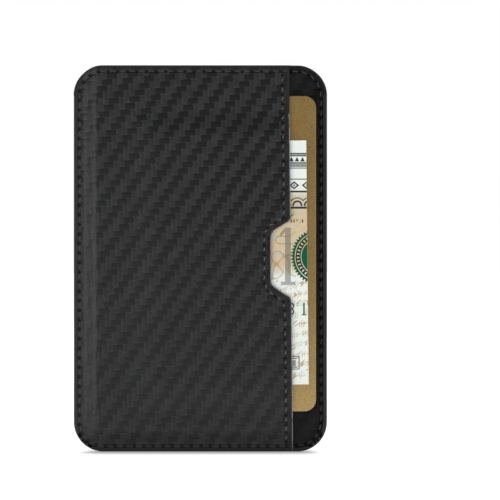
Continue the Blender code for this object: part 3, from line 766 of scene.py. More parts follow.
def printed_figure(n, x, h):
    """A large grey numeral one."""
    stem = block(n, x, h, 23.0, 24.6, 46.0, 61.0)
    foot = block(n, x, h, 21.9, 25.8, 45.4, 46.3)
    slope = n.plus(n.minus(60.9, h), n.times(n.minus(x, 23.0), 1.1))
    flag = all_of(n, within(n, x, 21.7, 23.1), within(n, slope, 0.0, 1.1))
    return any_of(n, stem, foot, flag)


def printed_medallion(n, x, h):
    """An engraved oval on the part of the print that the pocket hides."""
    dx, dz = n.minus(x, 5.5), n.minus(h, 47.0)
    away = reach(n, n.over(dx, 8.5), n.over(dz, 13.0))
    lines = n.sine(n.times(n.plus(h, n.times(x, 0.4)), 12.0))
    hatch = all_of(n, n.step(lines, -0.2, 0.4), n.step(away, 0.9, 0.92, 0.55, 0.0))
    return any_of(n, hatch, within(n, away, 0.93, 0.97, 0.01), within(n, away, 1.01, 1.03, 0.005))


def paper_print():
    """Pale banknote-like paper with a made-up print: bands, a figure, a rosette and flourishes."""
    made, n, shader = new_material("note_paper")
    place = object_place(n)
    fibre, fine = n.noise(place, 3000.0, 4.0), n.noise(place, 900.0, 2.0)
    x, _, h = (n.times(value, 1000.0) for value in n.split(place))
    paper = n.blend(fibre, (0.80, 0.85, 0.80), (0.90, 0.94, 0.90))
    tan = within(n, h, 49.0, 70.3, 2.2)
    tan = n.times(tan, n.step(fine, 0.2, 0.6, 0.85, 1.0))
    colour = n.blend(tan, paper, (0.64, 0.52, 0.32))
    streaks = all_of(n, n.step(n.noise(place, 420.0, 1.0), 0.55, 0.62, 0.0, 0.5), tan)
    colour = n.blend(streaks, colour, (0.50, 0.60, 0.62))
    script, curls = printed_flourish(n, place, x, h)
    for mask, strength, ink in (
        (script, 0.8, (0.48, 0.29, 0.10)),
        (curls, 0.6, (0.42, 0.24, 0.10)),
        (printed_figure(n, x, h), 0.62, (0.13, 0.13, 0.13)),
        (printed_medallion(n, x, h), 0.7, (0.05, 0.06, 0.05)),
    ):
        colour = n.blend(n.times(mask, strength), colour, ink)
    seal, ring = printed_seal(n, x, h)
    green = n.blend(ring, (0.001, 0.105, 0.045), (0.012, 0.05, 0.03))
    colour = n.blend(any_of(n, seal, printed_numerals(n, x, h)), colour, green)
    black = printed_borders(n, x, h, fine)
    colour = n.blend(n.times(black, 0.96), colour, (0.008, 0.009, 0.011))
    face = n.size(n.split(n.add("ShaderNodeNewGeometry").outputs["Normal"])[1])
    colour = n.blend(n.fall(face, 0.4, 0.8), colour, paper)
    rough, normal = n.scaled(fibre, 0.2, 0.6), bump(n, fibre, 0.02 * MM, 0.5)
    return settle(n, shader, made, colour, rough, normal, Specular_IOR_Level=0.15)


leather_front = twill_leather("twill_leather_front", ("seam", "mouth"))
# A darker copy of the same leather for the front wall: painted shade.
leather_wall_shaded = twill_leather("twill_leather_wall", ("seam",), 0.3, 0.12)
leather_back = twill_leather("twill_leather_back", ("seam", "mouth"))
leather_back_wall = twill_leather("twill_leather_back_wall", ("seam",))
leather_tab = twill_leather("twill_leather_tab", ("seam",))
# The mouth edge's pale line is a painted highlight.
mouth_paint = edge_paint("mouth_edge_paint", highlight_colour=(0.3, 0.31, 0.33))
note_print = paper_print()
paint = edge_paint()
thread_black = sewing_thread("seam_thread", (0.008, 0.008, 0.009), (0.04, 0.041, 0.045))
# A lighter copy of the same black thread for the mouth seams: its pale colour is painted glint.
thread_painted_glint = sewing_thread("mouth_thread", (0.03, 0.031, 0.034), (0.13, 0.134, 0.142))
lining_cloth = cloth("lining_cloth", (0.008, 0.008, 0.009), (0.03, 0.03, 0.033), 0.3 * MM)
ribbon_cloth = cloth("ribbon_cloth", (0.006, 0.006, 0.007), (0.035, 0.035, 0.04), 0.42 * MM, 0.55)
shield_foil = foil_metal()
gold_plastic = card_plastic("gold_card_face", (0.24, 0.15, 0.037), (0.38, 0.26, 0.088), 0.35, 0.7)
silver_plastic = card_plastic("silver_card_face", (0.5, 0.51, 0.53), (0.62, 0.63, 0.65), 0.3, 0.2)
blue_plastic = card_plastic("blue_card_face", (0.03, 0.08, 0.2), (0.05, 0.12, 0.27), 0.1, 0.2)

# ------------------------------------------------------------------ mesh helpers


def finish_piece(name, made, look, body, slot, *nodes, angle=40):
    """Turns a bmesh into a piece that rides on a body, if one is named, and stands for CAD nodes."""
    mesh = bpy.data.meshes.new(name)
    made.to_mesh(mesh)
    made.free()
    mesh.shade_smooth()
    mesh.set_sharp_from_angle(angle=math.radians(angle))
    mesh.materials.append(look)
    piece = bpy.data.objects.new(name, mesh)
    bpy.context.scene.collection.objects.link(piece)
    if body:
        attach(piece, body)
    if nodes:
        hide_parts(*nodes)
    return piece


def bevel(made, geom, offset, segments, affect="EDGES"):
    bmesh.ops.bevel(
        made, geom=geom, offset=offset, offset_type="OFFSET", affect=affect, segments=segments,
        profile=0.5, material=-1,
    )


def extrude(made):
    """Extrudes the whole mesh, and returns the new vertices."""
    grown = bmesh.ops.extrude_face_region(made, geom=made.faces[:])["geom"]
    return [v for v in grown if isinstance(v, bmesh.types.BMVert)]


def bisect(made, point, normal, faces=None, **clear):
    """Cuts the given faces along a plane."""
    faces = made.faces[:] if faces is None else faces
    edges = {e for f in faces for e in f.edges}
    verts = {v for f in faces for v in f.verts}
    return bmesh.ops.bisect_plane(
        made, geom=[*verts, *edges, *faces], dist=1e-7, plane_co=point, plane_no=normal, **clear,
    )


def upright_sheet(width, height, centre, radius, steps):
    """A flat upright sheet that faces the front, with rounded corners."""
    made = bmesh.new()
    bmesh.ops.create_grid(made, x_segments=1, y_segments=1, size=0.5)
    turned(made, math.pi / 2, "X")
    bmesh.ops.scale(made, verts=made.verts, vec=(width, 1, height))
    moved_by(made, centre)
    bevel(made, made.verts[:], radius, steps, "VERTICES")
    return made


def outline(kind="body"):
    """A flat sheet in the seam plane with the outline of the body, or of the front or back pocket."""
    made = upright_sheet(WIDTH, HEIGHT, (0, 0, HEIGHT / 2), CORNER, 20)
    if kind == "back pocket":
        bisect(made, (0, 0, BACK_MOUTH), (0, 0, 1), clear_outer=True)
    if kind == "front pocket":
        edge = Vector((MOUTH_TOP_X - MOUTH_LOW_X, 0, HEIGHT))
        across = Vector((edge.z, 0, -edge.x))
        bisect(made, (MOUTH_LOW_X, 0, 0), across, clear_outer=True)
        cut_notch(made)
    return made


def cut_notch(made):
    """Cuts the finger notch out of the front pocket's mouth."""
    low, notch_low, notch_high, high = NOTCH
    lower = Vector((NOTCH_X - mouth_x(low), 0, notch_low - low))
    upper = Vector((NOTCH_X - mouth_x(high), 0, notch_high - high))
    for point, normal in (
        ((NOTCH_X, 0, 0), (1, 0, 0)),
        ((mouth_x(low), 0, low), (-lower.z, 0, lower.x)),
        ((mouth_x(high), 0, high), (upper.z, 0, -upper.x)),
    ):
        bisect(made, point, normal)
    inside = [
        f
        for f in made.faces
        if (c := f.calc_center_median()).x > NOTCH_X
        and mix(low, notch_low, (c.x - mouth_x(low)) / (NOTCH_X - mouth_x(low))) < c.z
        and mix(high, notch_high, (c.x - mouth_x(high)) / (NOTCH_X - mouth_x(high))) > c.z
    ]
    drop_faces(made, inside)
    rounded = [
        v
        for v in made.verts
        if v.is_boundary
        and min(math.dist((v.co.x, v.co.z), corner) for corner in notch_corners()) < 0.05 * MM
    ]
    bevel(made, rounded, NOTCH_ROUNDING, 4, "VERTICES")


def notch_corners():
    low, notch_low, notch_high, high = NOTCH
    return [(mouth_x(low), low), (NOTCH_X, notch_low), (NOTCH_X, notch_high), (mouth_x(high), high)]


def cut_slot(made):
    """Cuts the strap's slot through a flat sheet."""
    for sign in (-1, 1):
        bisect(made, (sign * SLOT_HALF, 0, 0), (1, 0, 0))
        bisect(made, (0, 0, SLOT_Z + sign * SLOT_OPEN), (0, 0, 1))
    window = [
        f
        for f in made.faces
        if abs((c := f.calc_center_median()).x) < SLOT_HALF and abs(c.z - SLOT_Z) < SLOT_OPEN
    ]
    drop_faces(made, window)


def inset(made, faces, width):
    """Insets the faces as one region, and returns the strip round it."""
    return bmesh.ops.inset_region(
        made, faces=faces, thickness=width, use_boundary=True, use_even_offset=True
    )["faces"]


def inset_rows(made, widths):
    """Adds rows of faces that follow the outline."""
    for width in widths:
        inner = [f for f in made.faces if not f.tag]
        ring = inset(made, inner, width)
        for face in ring:
            face.tag = True


def grid_cuts(made, spacing_x, spacing_z, turn=0.0, keep=None):
    """Cuts the faces that keep accepts into a grid, along lines turned by an angle."""
    for spacing, direction in (
        (spacing_x, Vector((math.cos(turn), 0, math.sin(turn)))),
        (spacing_z, Vector((-math.sin(turn), 0, math.cos(turn)))),
    ):
        faces = [f for f in made.faces if keep is None or keep(f.calc_center_median())]
        if not faces:
            continue
        reach = [v.co.dot(direction) for f in faces for v in f.verts]
        line = math.ceil(min(reach) / spacing) * spacing
        while line < max(reach):
            cut = bisect(made, direction * line, direction, faces)
            found = {e for e in cut["geom"] if isinstance(e, bmesh.types.BMFace)}
            faces = [f for f in found if f.calc_center_median().dot(direction) > line]
            if not faces:
                break
            line += spacing


def drop_faces(made, faces):
    bmesh.ops.delete(made, geom=faces, context="FACES")


def face_out(made):
    bmesh.ops.recalc_face_normals(made, faces=made.faces)


def merge(made):
    bmesh.ops.remove_doubles(made, verts=made.verts, dist=SAME_PLACE)


def moved_by(made, step):
    bmesh.ops.translate(made, verts=made.verts, vec=step)


def turned(made, angle, axis):
    bmesh.ops.rotate(made, verts=made.verts, matrix=Matrix.Rotation(angle, 3, axis))


def strip(columns, rows):
    """A flat grid for bending: the mesh, and each vertex with its column's number and row, -1 to 1."""
    made = bmesh.new()
    bmesh.ops.create_grid(made, x_segments=columns - 1, y_segments=rows, size=1)
    return made, [(v, round((v.co.x + 1) / 2 * (columns - 1)), v.co.y) for v in made.verts]


def thicken(made, rear, front, relief=None):
    """Gives a flat sheet its shape and thickness between two depths."""
    near = set(extrude(made))
    for vert in made.verts:
        x, z = vert.co.x, vert.co.z
        if vert in near:
            raised = relief(x, z) if relief else 0
            vert.co.y = SEAM_Y - front(x, z) - raised
        else:
            vert.co.y = SEAM_Y - rear(x, z)
    face_out(made)


def plump(made, thick):
    """Gives a bent sheet its thickness, half to each side."""
    face_out(made)
    made.normal_update()
    ways = {tuple(v.co): v.normal.copy() for v in made.verts}
    far = set(extrude(made))
    for vert in made.verts:
        vert.co += ways[tuple(vert.co)] * (thick / 2 if vert in far else -thick / 2)
    face_out(made)


def count_stitches(made, name, reader, inset, stitch, closed_count=0):
    """Writes a UV map that counts stitches along a seam, and rows across it."""
    layer = made.loops.layers.uv.new(name)
    for face in made.faces:
        read = [reader(loop.vert.co.x, loop.vert.co.z) for loop in face.loops]
        along = [r[0] / stitch for r in read]
        if closed_count and max(along) - min(along) > closed_count / 2:
            along = [a + closed_count if a < closed_count / 2 else a for a in along]
        for loop, a, r in zip(face.loops, along, read):
            loop[layer].uv = (a, (r[1] - inset) / stitch)


def trimmed(made, width):
    """Takes a strip of this width off a flat sheet's rim."""
    drop_faces(made, inset(made, made.faces[:], width))


def faded_relief():
    """Relief of the embossing, flattened towards the rim and the stitching."""

    def read(x, z):
        away = min(on_rim(x, z)[1] - STITCH_INSET, 3 * MM)
        fade = smooth(away, -0.4 * MM, 0.8 * MM)
        return RELIEF * twill_relief(x, z) * fade

    return read


BEAD_CLEARANCE = 0.02 * MM
RIM_ROWS = (0.5 * MM, 0.58 * MM, 0.58 * MM)  # widths of the rows of faces along the rim
COARSE = 2.4 * MM  # cell of the leather that stays hidden
HIDDEN_X, HIDDEN_DOWN = 1 * MM, 5 * MM  # how far the fine leather goes on under the pockets


def leather_sheet(name, kind, rear, look, nodes, shown=None, mouth=None, embossed_rear=False):
    """One leather panel. shown is a point and a direction: its mesh is only fine past them."""
    made = outline(kind)
    trimmed(made, BEAD + BEAD_CLEARANCE)
    inset_rows(made, RIM_ROWS)
    if shown:
        point, way = Vector(shown[0]), Vector(shown[1])
        bisect(made, point, way)
        grid_cuts(made, WARP / 3, WEFT / 3, TWILL_TURN, lambda c: (c - point).dot(way) > 0)
        grid_cuts(made, COARSE, COARSE, 0, lambda c: (c - point).dot(way) < 0)
    else:
        grid_cuts(made, WARP / 3, WEFT / 3, TWILL_TURN)
    merge(made)
    front = moved(rear, LEATHER)
    relief = faded_relief()
    if kind == "back wall":
        cut_slot(made)
    if embossed_rear:
        thicken(made, lambda x, z: rear(x, z) - relief(x, z), front)
    else:
        thicken(made, rear, front, relief)
    count_stitches(made, "seam", on_rim, STITCH_INSET, RIM_STITCH, RIM_STITCHES)
    if mouth:
        seam, stitch = mouth
        count_stitches(made, "mouth", on_line(seam), 0, stitch)
    return finish_piece(name, made, look, "wallet", "woven_leather", *nodes)


leather_sheet(
    "front_pocket_leather", "front pocket", front_pocket, leather_front, ["front_pocket_outer"],
    mouth=(MOUTH_SEAM, MOUTH_STITCH),
)
leather_sheet(
    "front_wall_leather", "body", front_wall, leather_wall_shaded, ["front_wall_outer"],
    shown=((NOTCH_X - HIDDEN_X, 0, 0), (1, 0, 0)),
)

leather_sheet(
    "back_wall_leather", "back wall", moved(back_wall, -LEATHER), leather_back_wall,
    ["back_wall_outer"], shown=((0, 0, BACK_MOUTH - HIDDEN_DOWN), (0, 0, 1)), embossed_rear=True,
)
leather_sheet(
    "back_pocket_leather", "back pocket", moved(back_pocket, -LEATHER), leather_back,
    ["back_pocket_outer"], mouth=(BACK_SEAM, BACK_STITCH), embossed_rear=True,
)


# ------------------------------------------------------------------ linings and foils


def inner_sheet(name, rear, thickness, margin, look, slot, right=None, top=2.4 * MM, window=False):
    """A flat ply inside the wallet, clear of the seams."""
    left, low, high = -WIDTH / 2 + INNER_INSET + margin, INNER_LOW + margin, HEIGHT - top - margin
    right = (right or WIDTH / 2 - INNER_INSET) - margin
    centre = ((left + right) / 2, 0, (low + high) / 2)
    made = upright_sheet(right - left, high - low, centre, INNER_CORNER, 8)
    grid_cuts(made, 1 * MM, 2 * MM)
    if window:
        cut_slot(made)
    thicken(made, rear, moved(rear, thickness))
    return finish_piece(name + "_ply", made, look, "wallet", slot, name)


inner_sheet(
    "front_pocket_lining", moved(front_pocket, -PLY - CLOTH), CLOTH, 0, lining_cloth, "lining",
    right=16.5 * MM, top=8 * MM,
)
inner_sheet("front_wall_foil", moved(front_wall, -PLY - FOIL), FOIL, 0.5 * MM, shield_foil, "foil")
inner_sheet(
    "front_wall_lining", moved(front_wall, -2 * PLY - FOIL - CLOTH), CLOTH, 0, lining_cloth, "lining"
)
inner_sheet(
    "back_wall_foil", moved(back_wall, PLY), FOIL, 0.5 * MM, shield_foil, "foil", window=True,
)
inner_sheet(
    "back_wall_lining", moved(back_wall, 2 * PLY + FOIL), CLOTH, 0, lining_cloth, "lining",
    window=True,
)

# ------------------------------------------------------------------ painted edges


EDGE_ROUNDING, BEAD_CELL, BEYOND = 0.2 * MM, 1.5 * MM, 1 * MM
BODY_ROUNDING, BODY_COAT = 1.0 * MM, 1.05 * MM
MOUTH_ROUNDING, MOUTH_COAT = 0.22 * MM, 0.04 * MM


def edge_bead(name, kind, inward, rear, front, rounding, look, keep=None, width=BEAD):
    """A painted, rounded edge that follows part of an outline."""
    made = outline(kind)
    kept = set(inset(made, made.faces[:], width))
    others = [f for f in made.faces if f not in kept]
    drop_faces(made, others)
    for low, high in keep or ():
        bisect(made, (0, 0, low), (0, 0, 1), clear_inner=True)
        bisect(made, (0, 0, high), (0, 0, 1), clear_outer=True)
    grid_cuts(made, BEAD_CELL, BEAD_CELL)
    wrong = [f for f in made.faces if inward(*f.calc_center_median().xz) > width]
    drop_faces(made, wrong)
    merge(made)
    thicken(made, rear, front)
    outer = {v for v in made.verts if inward(v.co.x, v.co.z) < BEAD / 2}
    corners = [
        e
        for e in made.edges
        if all(v in outer for v in e.verts)
        and sum(any(w not in outer for w in f.verts) for f in e.link_faces) == 1
        and len({v for f in e.link_faces for v in f.verts if v in outer}) > 2
        and (e.verts[0].co - e.verts[1].co).xz.length > 1e-6
    ]
    bevel(made, corners, rounding, 5)
    face_out(made)
    return finish_piece(name + "_bead", made, look, "wallet", "edge_paint", name, angle=50)


def from_rim(x, z):
    return on_rim(x, z)[1]


mouth_reader = on_line([(mouth_x(0), 0), *notch_corners(), (mouth_x(HEIGHT), HEIGHT)])


def from_mouth(x, z):
    return abs(mouth_reader(x, z)[1])


def from_back_mouth(x, z):
    return BACK_MOUTH - z


def level(depth):
    return lambda x, z: depth


def lip_front(x, z):
    """Front of the front lip, which drops from the pocket to the wall at the mouth."""
    share = smooth(x, mouth_x(z) + 0.02 * MM, mouth_x(z) + 0.6 * MM)
    return mix(front_pocket(x, z), front_wall(x, z), share) + LEATHER


edge_bead(
    "body_edge_coat", "body", from_rim, level(-SEAM_HALF), level(SEAM_HALF), BODY_ROUNDING, paint,
    keep=[(-BEYOND, SEAM_TOP)], width=BODY_COAT,
)
edge_bead(
    "front_lip_edge_coat", "body", from_rim, front_wall, lip_front, EDGE_ROUNDING, paint,
    keep=[(SEAM_TOP, HEIGHT + BEYOND)],
)
edge_bead(
    "back_lip_edge_coat", "body", from_rim, moved(back_wall, -LEATHER), back_wall, EDGE_ROUNDING,
    paint, keep=[(SEAM_TOP, HEIGHT + BEYOND)],
)
edge_bead(
    "front_mouth_edge_coat", "front pocket", from_mouth, front_pocket,
    moved(front_pocket, LEATHER + MOUTH_COAT), MOUTH_ROUNDING, mouth_paint,
    keep=[(BEAD, HEIGHT - BEAD)],
)
edge_bead(
    "back_mouth_edge_coat", "back pocket", from_back_mouth, moved(back_pocket, -LEATHER),
    back_pocket, EDGE_ROUNDING, paint,
)

# ------------------------------------------------------------------ stitching


def add_stitch(made, place, turn, half, thick):
    """One stitch: a long bead of thread, half its length and half its thickness given."""
    reach = Matrix.Diagonal((half, thick, thick, 1))
    matrix = Matrix.Translation(place) @ turn.to_4x4() @ reach
    bmesh.ops.create_uvsphere(made, u_segments=8, v_segments=6, radius=1, matrix=matrix)


def stitches(name, count, spot, face, way, slant, thick, look, share=0.36):
    """Separate stitches between needle holes: spot(i) is hole i, face the depth they lie on."""
    made = bmesh.new()
    for i in range(count):
        (x0, z0), (x1, z1) = spot(i), spot(i + 1)
        x, z = (x0 + x1) / 2, (z0 + z1) / 2
        start = Vector((x0, SEAM_Y - face(x0, z0), z0))
        end = Vector((x1, SEAM_Y - face(x1, z1), z1))
        run = end - start
        sideways = Vector((0, way, 0))
        turn = run.to_track_quat("X", "Y" if abs(run.y) < run.length * 0.7 else "Z").to_matrix()
        turn = Matrix.Rotation(slant, 3, sideways) @ turn
        place = Vector((x, SEAM_Y - face(x, z) - way * THREAD_RAISED, z))
        add_stitch(made, place, turn, run.length * share, thick)
    return finish_piece(name + "_stitches", made, look, "wallet", "thread", name, angle=80)


def front_surface(x, z):
    return (front_pocket(x, z) if x < mouth_x(z) else front_wall(x, z)) + LEATHER


def back_surface(x, z):
    return (back_pocket(x, z) if z < BACK_MOUTH else back_wall(x, z)) - LEATHER


stitches(
    "front_seam_thread", RIM_STITCHES, lambda i: rim_point(i % RIM_STITCHES * RIM_STITCH),
    front_surface, 1, SEAM_SLANT, SEAM_THREAD, thread_black,
)
left_top = rim_length() / 2 - (WIDTH / 2 - CORNER)
side_start = next(
    i
    for i in range(RIM_STITCHES)
    if i * RIM_STITCH > left_top and rim_point(i * RIM_STITCH)[1] < SEAM_TOP
)
side_count = round((rim_length() - side_start * RIM_STITCH + SEAM_TOP - CORNER) / RIM_STITCH)
stitches(
    "back_seam_thread", side_count,
    lambda i: rim_point((side_start + i) % RIM_STITCHES * RIM_STITCH), back_surface, -1,
    -SEAM_SLANT, SEAM_THREAD, thread_black,
)
lip_start = next(
    i for i in range(RIM_STITCHES) if rim_point(i * RIM_STITCH)[1] > HEIGHT - STITCH_INSET - 1e-6
)
stitches(
    "back_lip_thread", int((WIDTH - 2 * CORNER) / RIM_STITCH),
    lambda i: rim_point((lip_start + i) * RIM_STITCH), back_surface, -1, -SEAM_SLANT, SEAM_THREAD,
    thread_black,
)
stitches(
    "front_mouth_thread", MOUTH_STITCHES, lambda i: seam_point(MOUTH_SEAM, i * MOUTH_STITCH),
    moved(front_pocket, LEATHER), 1, MOUTH_SLANT, MOUTH_THREAD, thread_painted_glint, 0.22,
)
stitches(
    "back_mouth_thread", BACK_STITCHES, lambda i: seam_point(BACK_SEAM, i * BACK_STITCH),
    moved(back_pocket, -LEATHER), -1, -MOUTH_SLANT, MOUTH_THREAD, thread_painted_glint, 0.22,
)

# ------------------------------------------------------------------ cards


CARD_CORNER, CARD_EDGE = 3.18 * MM, 0.1 * MM


def card(node, body, look, slot):
    """A bank-format card, with rounded corners and softened edges."""
    low, high = (Vector(c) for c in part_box(node))
    size, centre = high - low, (low + high) / 2
    made = upright_sheet(size.x, size.z, (centre.x, high.y, centre.z), CARD_CORNER, 12)
    bmesh.ops.translate(made, verts=extrude(made), vec=(0, -size.y, 0))
    face_out(made)
    rims = [e for e in made.edges if abs(e.verts[0].co.y - e.verts[1].co.y) < 1e-7]
    bevel(made, rims, CARD_EDGE, 3)
    return finish_piece(node + "_body", made, look, body, slot, node)


card("gold_card", "gold_card", gold_plastic, "gold_card")
card("stored_card_1", "stored_cards", silver_plastic, "silver_plastic")
card("stored_card_2", "stored_cards", blue_plastic, "blue_plastic")

# ------------------------------------------------------------------ folded note

PAPER = 0.09 * MM
NOTE_TURN = math.radians(0.6)
NOTE_TRIM = 0.6 * MM  # how much narrower than its box the sheet is, because it is turned
NOTE_MID = (note_low[2] + note_high[2]) / 2


def folded_line(width, thick, folds=40):
    """Section of a sheet folded in half twice: a reader of (x, depth) along its length, 0 to 1."""
    gap = thick / 4
    outer, inner = 1.5 * gap, 0.5 * gap
    right, left = -outer - PAPER / 2, -width + PAPER
    turn = (outer - inner) / 2
    angles = [math.pi * i / folds for i in range(1, folds)]
    spots = [(-width, -outer), (right, -outer)]
    spots += [(right + outer * math.sin(a), -outer * math.cos(a)) for a in angles]
    spots += [(right, outer), (left + inner, outer)]
    spots += [
        (left + inner - turn * math.sin(a), inner + turn + turn * math.cos(a)) for a in angles
    ]
    spots += [(left + inner, inner), (right, inner)]
    spots += [(right + inner * math.sin(a), inner * math.cos(a)) for a in angles]
    return spots + [(right, -inner), (-width, -inner)]


def note():
    """A banknote-sized print, folded in half twice, with soft folds."""
    line = folded_line(note_high[0] - note_low[0] - NOTE_TRIM, note_high[1] - note_low[1] - PAPER)
    stops = []
    for (x0, d0), (x1, d1) in zip(line, line[1:]):
        parts = max(1, round(abs(x1 - x0) / (1.3 * MM)))
        stops += [(mix(x0, x1, i / parts), mix(d0, d1, i / parts)) for i in range(parts)]
    stops.append(line[-1])
    stops = [s for i, s in enumerate(stops) if i == 0 or math.dist(s, stops[i - 1]) > 0.008 * MM]
    height, rows = note_high[2] - note_low[2] - 0.5 * MM, 50
    made, spread = strip(len(stops), rows)
    middle = (note_low[1] + note_high[1]) / 2
    for vert, column, row in spread:
        x, depth = stops[column]
        z = row * height / 2
        ripple = 0.012 * MM * math.sin(z / (5 * MM) + x / (7 * MM))
        vert.co = (x, middle - depth + ripple, z)
    plump(made, PAPER)
    turned(made, -NOTE_TURN, "Y")
    moved_by(made, (note_high[0] - NOTE_TRIM / 2, 0, NOTE_MID))
    return finish_piece(
        "folded_note_sheet", made, note_print, "folded_note", "note_paper", "folded_note",
    )


note()

# ------------------------------------------------------------------ strap and tab

RIBBON, RIBBON_WIDTH = 0.26 * MM, 12 * MM
TAB_DEPTH, TAB_HEIGHT = 3.85 * MM, 91.5 * MM  # the tab's hinge: how far behind the seam, how high
TAB_AXIS = Vector((0, SEAM_Y + TAB_DEPTH, TAB_HEIGHT))
TAB_LEAN = math.radians(14)


def rounded_line(points, radius, steps=8):
    """A line of straight runs with its turns rounded."""
    points = [Vector(p) for p in points]
    line = [points[0]]
    for before, turn, after in zip(points, points[1:], points[2:]):
        first, second = (before - turn).normalized(), (after - turn).normalized()
        start, end = turn + first * radius, turn + second * radius
        for i in range(steps + 1):
            t = i / steps
            line.append(start.lerp(turn, t).lerp(turn.lerp(end, t), t))
    return line + [points[-1]]


def ribbon(name, line, width, thick, spacing, look):
    """A flat ribbon along a line of (depth, height), with softened edges."""
    stops = []
    for a, b in zip(line, line[1:]):
        parts = max(1, math.ceil((b - a).length / spacing))
        stops += [a.lerp(b, i / parts) for i in range(parts)]
    stops.append(line[-1])
    made, spread = strip(len(stops), 8)
    for vert, column, row in spread:
        depth, z = stops[column]
        vert.co = (row * width / 2, SEAM_Y - depth, z)
    plump(made, thick)
    return finish_piece(name, made, look, None, "ribbon", angle=50)


front_depth, back_depth = 0.13 * MM, -1.77 * MM
UNDER_CARDS, LOOP_ROUNDING, TAIL_ROUNDING = 0.23 * MM, 0.13 * MM, 0.35 * MM
card_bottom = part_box("stored_card_1")[0][2]
loop_line = rounded_line(
    [
        (front_depth, 82 * MM),
        (front_depth, card_bottom - UNDER_CARDS),
        (back_depth, card_bottom - UNDER_CARDS),
        (back_depth, SLOT_Z - 1 * MM),
    ],
    LOOP_ROUNDING, 5,
)
loop = ribbon("strap_loop", loop_line, RIBBON_WIDTH, RIBBON, 1.5 * MM, ribbon_cloth)
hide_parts("pull_strap")
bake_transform(loop)
tail_line = rounded_line(
    [
        (back_depth, SLOT_Z - 1.1 * MM), (back_depth, SLOT_Z), (-TAB_DEPTH, SLOT_Z),
        (-TAB_DEPTH, 91.6 * MM),
    ],
    TAIL_ROUNDING, 8,
)
tail = ribbon("strap_tail", tail_line, RIBBON_WIDTH, RIBBON, 0.04 * MM, ribbon_cloth)
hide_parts("strap_end")
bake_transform(tail)


def in_tab(made):
    """Leans a mesh made around the tab's own axis, and sets it in place."""
    turned(made, -TAB_LEAN, "X")
    moved_by(made, TAB_AXIS)


TAB_WIDTH, TAB_LEAF, TAB_LENGTH, TAB_FOLD = 16 * MM, 0.62 * MM, 11 * MM, 0.75 * MM
TAB_START = 0.3 * MM  # where the leather begins, along from the root
TAB_ROUNDING, TAB_SEAM_INSET, TAB_THREAD = 0.22 * MM, 1.3 * MM, 0.15 * MM
TAB_SPACING, TAB_SHARE, TAB_SLANT = 2.2 * MM, 0.86, 6
leaf_offset = RIBBON / 2 + 2 * PLY + TAB_LEAF / 2
fold_at = TAB_LENGTH - TAB_FOLD - TAB_LEAF / 2


def tab_section(low, high, steps=12, turns=16):
    """The tab's folded line, as (out, along): low from its middle at the root, high at the fold."""
    leaf = [(mix(low, high, i / steps), mix(TAB_START, fold_at, i / steps)) for i in range(steps)]
    turn = [
        (-high * math.cos(a), fold_at + high * math.sin(a))
        for a in (math.pi * i / turns for i in range(turns + 1))
    ]
    return [(-out, along) for out, along in leaf] + turn + leaf[::-1]


def tab_leather():
    """Leather folded over the ribbon's end, pressed together and sewn."""
    outer = tab_section(leaf_offset + TAB_LEAF / 2, TAB_FOLD + TAB_LEAF / 2)
    inner = tab_section(RIBBON / 2 + 0.02 * MM, RIBBON / 2 + 0.05 * MM)
    made, spread = strip(len(outer), 32)
    spots = {}
    for vert, column, row in spread:
        vert.co = (row * TAB_WIDTH / 2, *outer[column])
        spots[tuple(vert.co)] = inner[column]
    for vert in extrude(made):
        vert.co = (vert.co.x, *spots[tuple(vert.co)])
    face_out(made)
    rims = [
        e
        for e in made.edges
        if len(e.link_faces) == 2 and e.calc_face_angle(0) > math.radians(60)
    ]
    bevel(made, rims, TAB_ROUNDING, 3)
    count_stitches(made, "seam", on_line(tab_stitch_line()), 0, TAB_STITCH)
    in_tab(made)
    return finish_piece(
        "pull_tab_fold", made, leather_tab, "pull_tab", "woven_leather", "pull_tab_leather"
    )


def tab_stitch_line():
    half = TAB_WIDTH / 2 - TAB_SEAM_INSET
    low, high = TAB_START + TAB_SEAM_INSET, fold_at - TAB_SEAM_INSET
    return [(-half, low), (half, low), (half, high), (-half, high), (-half, low)]


TAB_STITCHES = round(line_length(tab_stitch_line()) / TAB_SPACING)
TAB_STITCH = line_length(tab_stitch_line()) / TAB_STITCHES


def tab_stitches():
    line = tab_stitch_line()
    made = bmesh.new()
    for side in (-1, 1):
        for i in range(TAB_STITCHES):
            (x0, z0), (x1, z1) = (seam_point(line, (i + k) * TAB_STITCH) for k in (0, 1))
            share = ((z0 + z1) / 2 - TAB_START) / (fold_at - TAB_START)
            out = mix(leaf_offset, TAB_FOLD, share) + TAB_LEAF / 2 + 0.01 * MM
            run = Vector((x1 - x0, 0, z1 - z0))
            slant = Matrix.Rotation(math.radians(TAB_SLANT * side), 3, "Y")
            turn = slant @ run.to_track_quat("X", "Y").to_matrix()
            place = Vector(((x0 + x1) / 2, side * out, (z0 + z1) / 2))
            add_stitch(made, place, turn, run.length / 2 * TAB_SHARE, TAB_THREAD)
    in_tab(made)
    finish_piece(
        "pull_tab_stitches", made, thread_black, "pull_tab", "thread", "pull_tab_thread", angle=80
    )


tab_leather()
tab_stitches()


def repaint(node, look):
    """Gives a CAD piece that stays in view its finished material."""
    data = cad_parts[node].data
    for i in range(len(data.materials)):
        data.materials[i] = look


repaint("strap_anchor_thread", thread_black)
repaint("pull_tab_ribbon", ribbon_cloth)

# ------------------------------------------------------------------ stage, light, camera


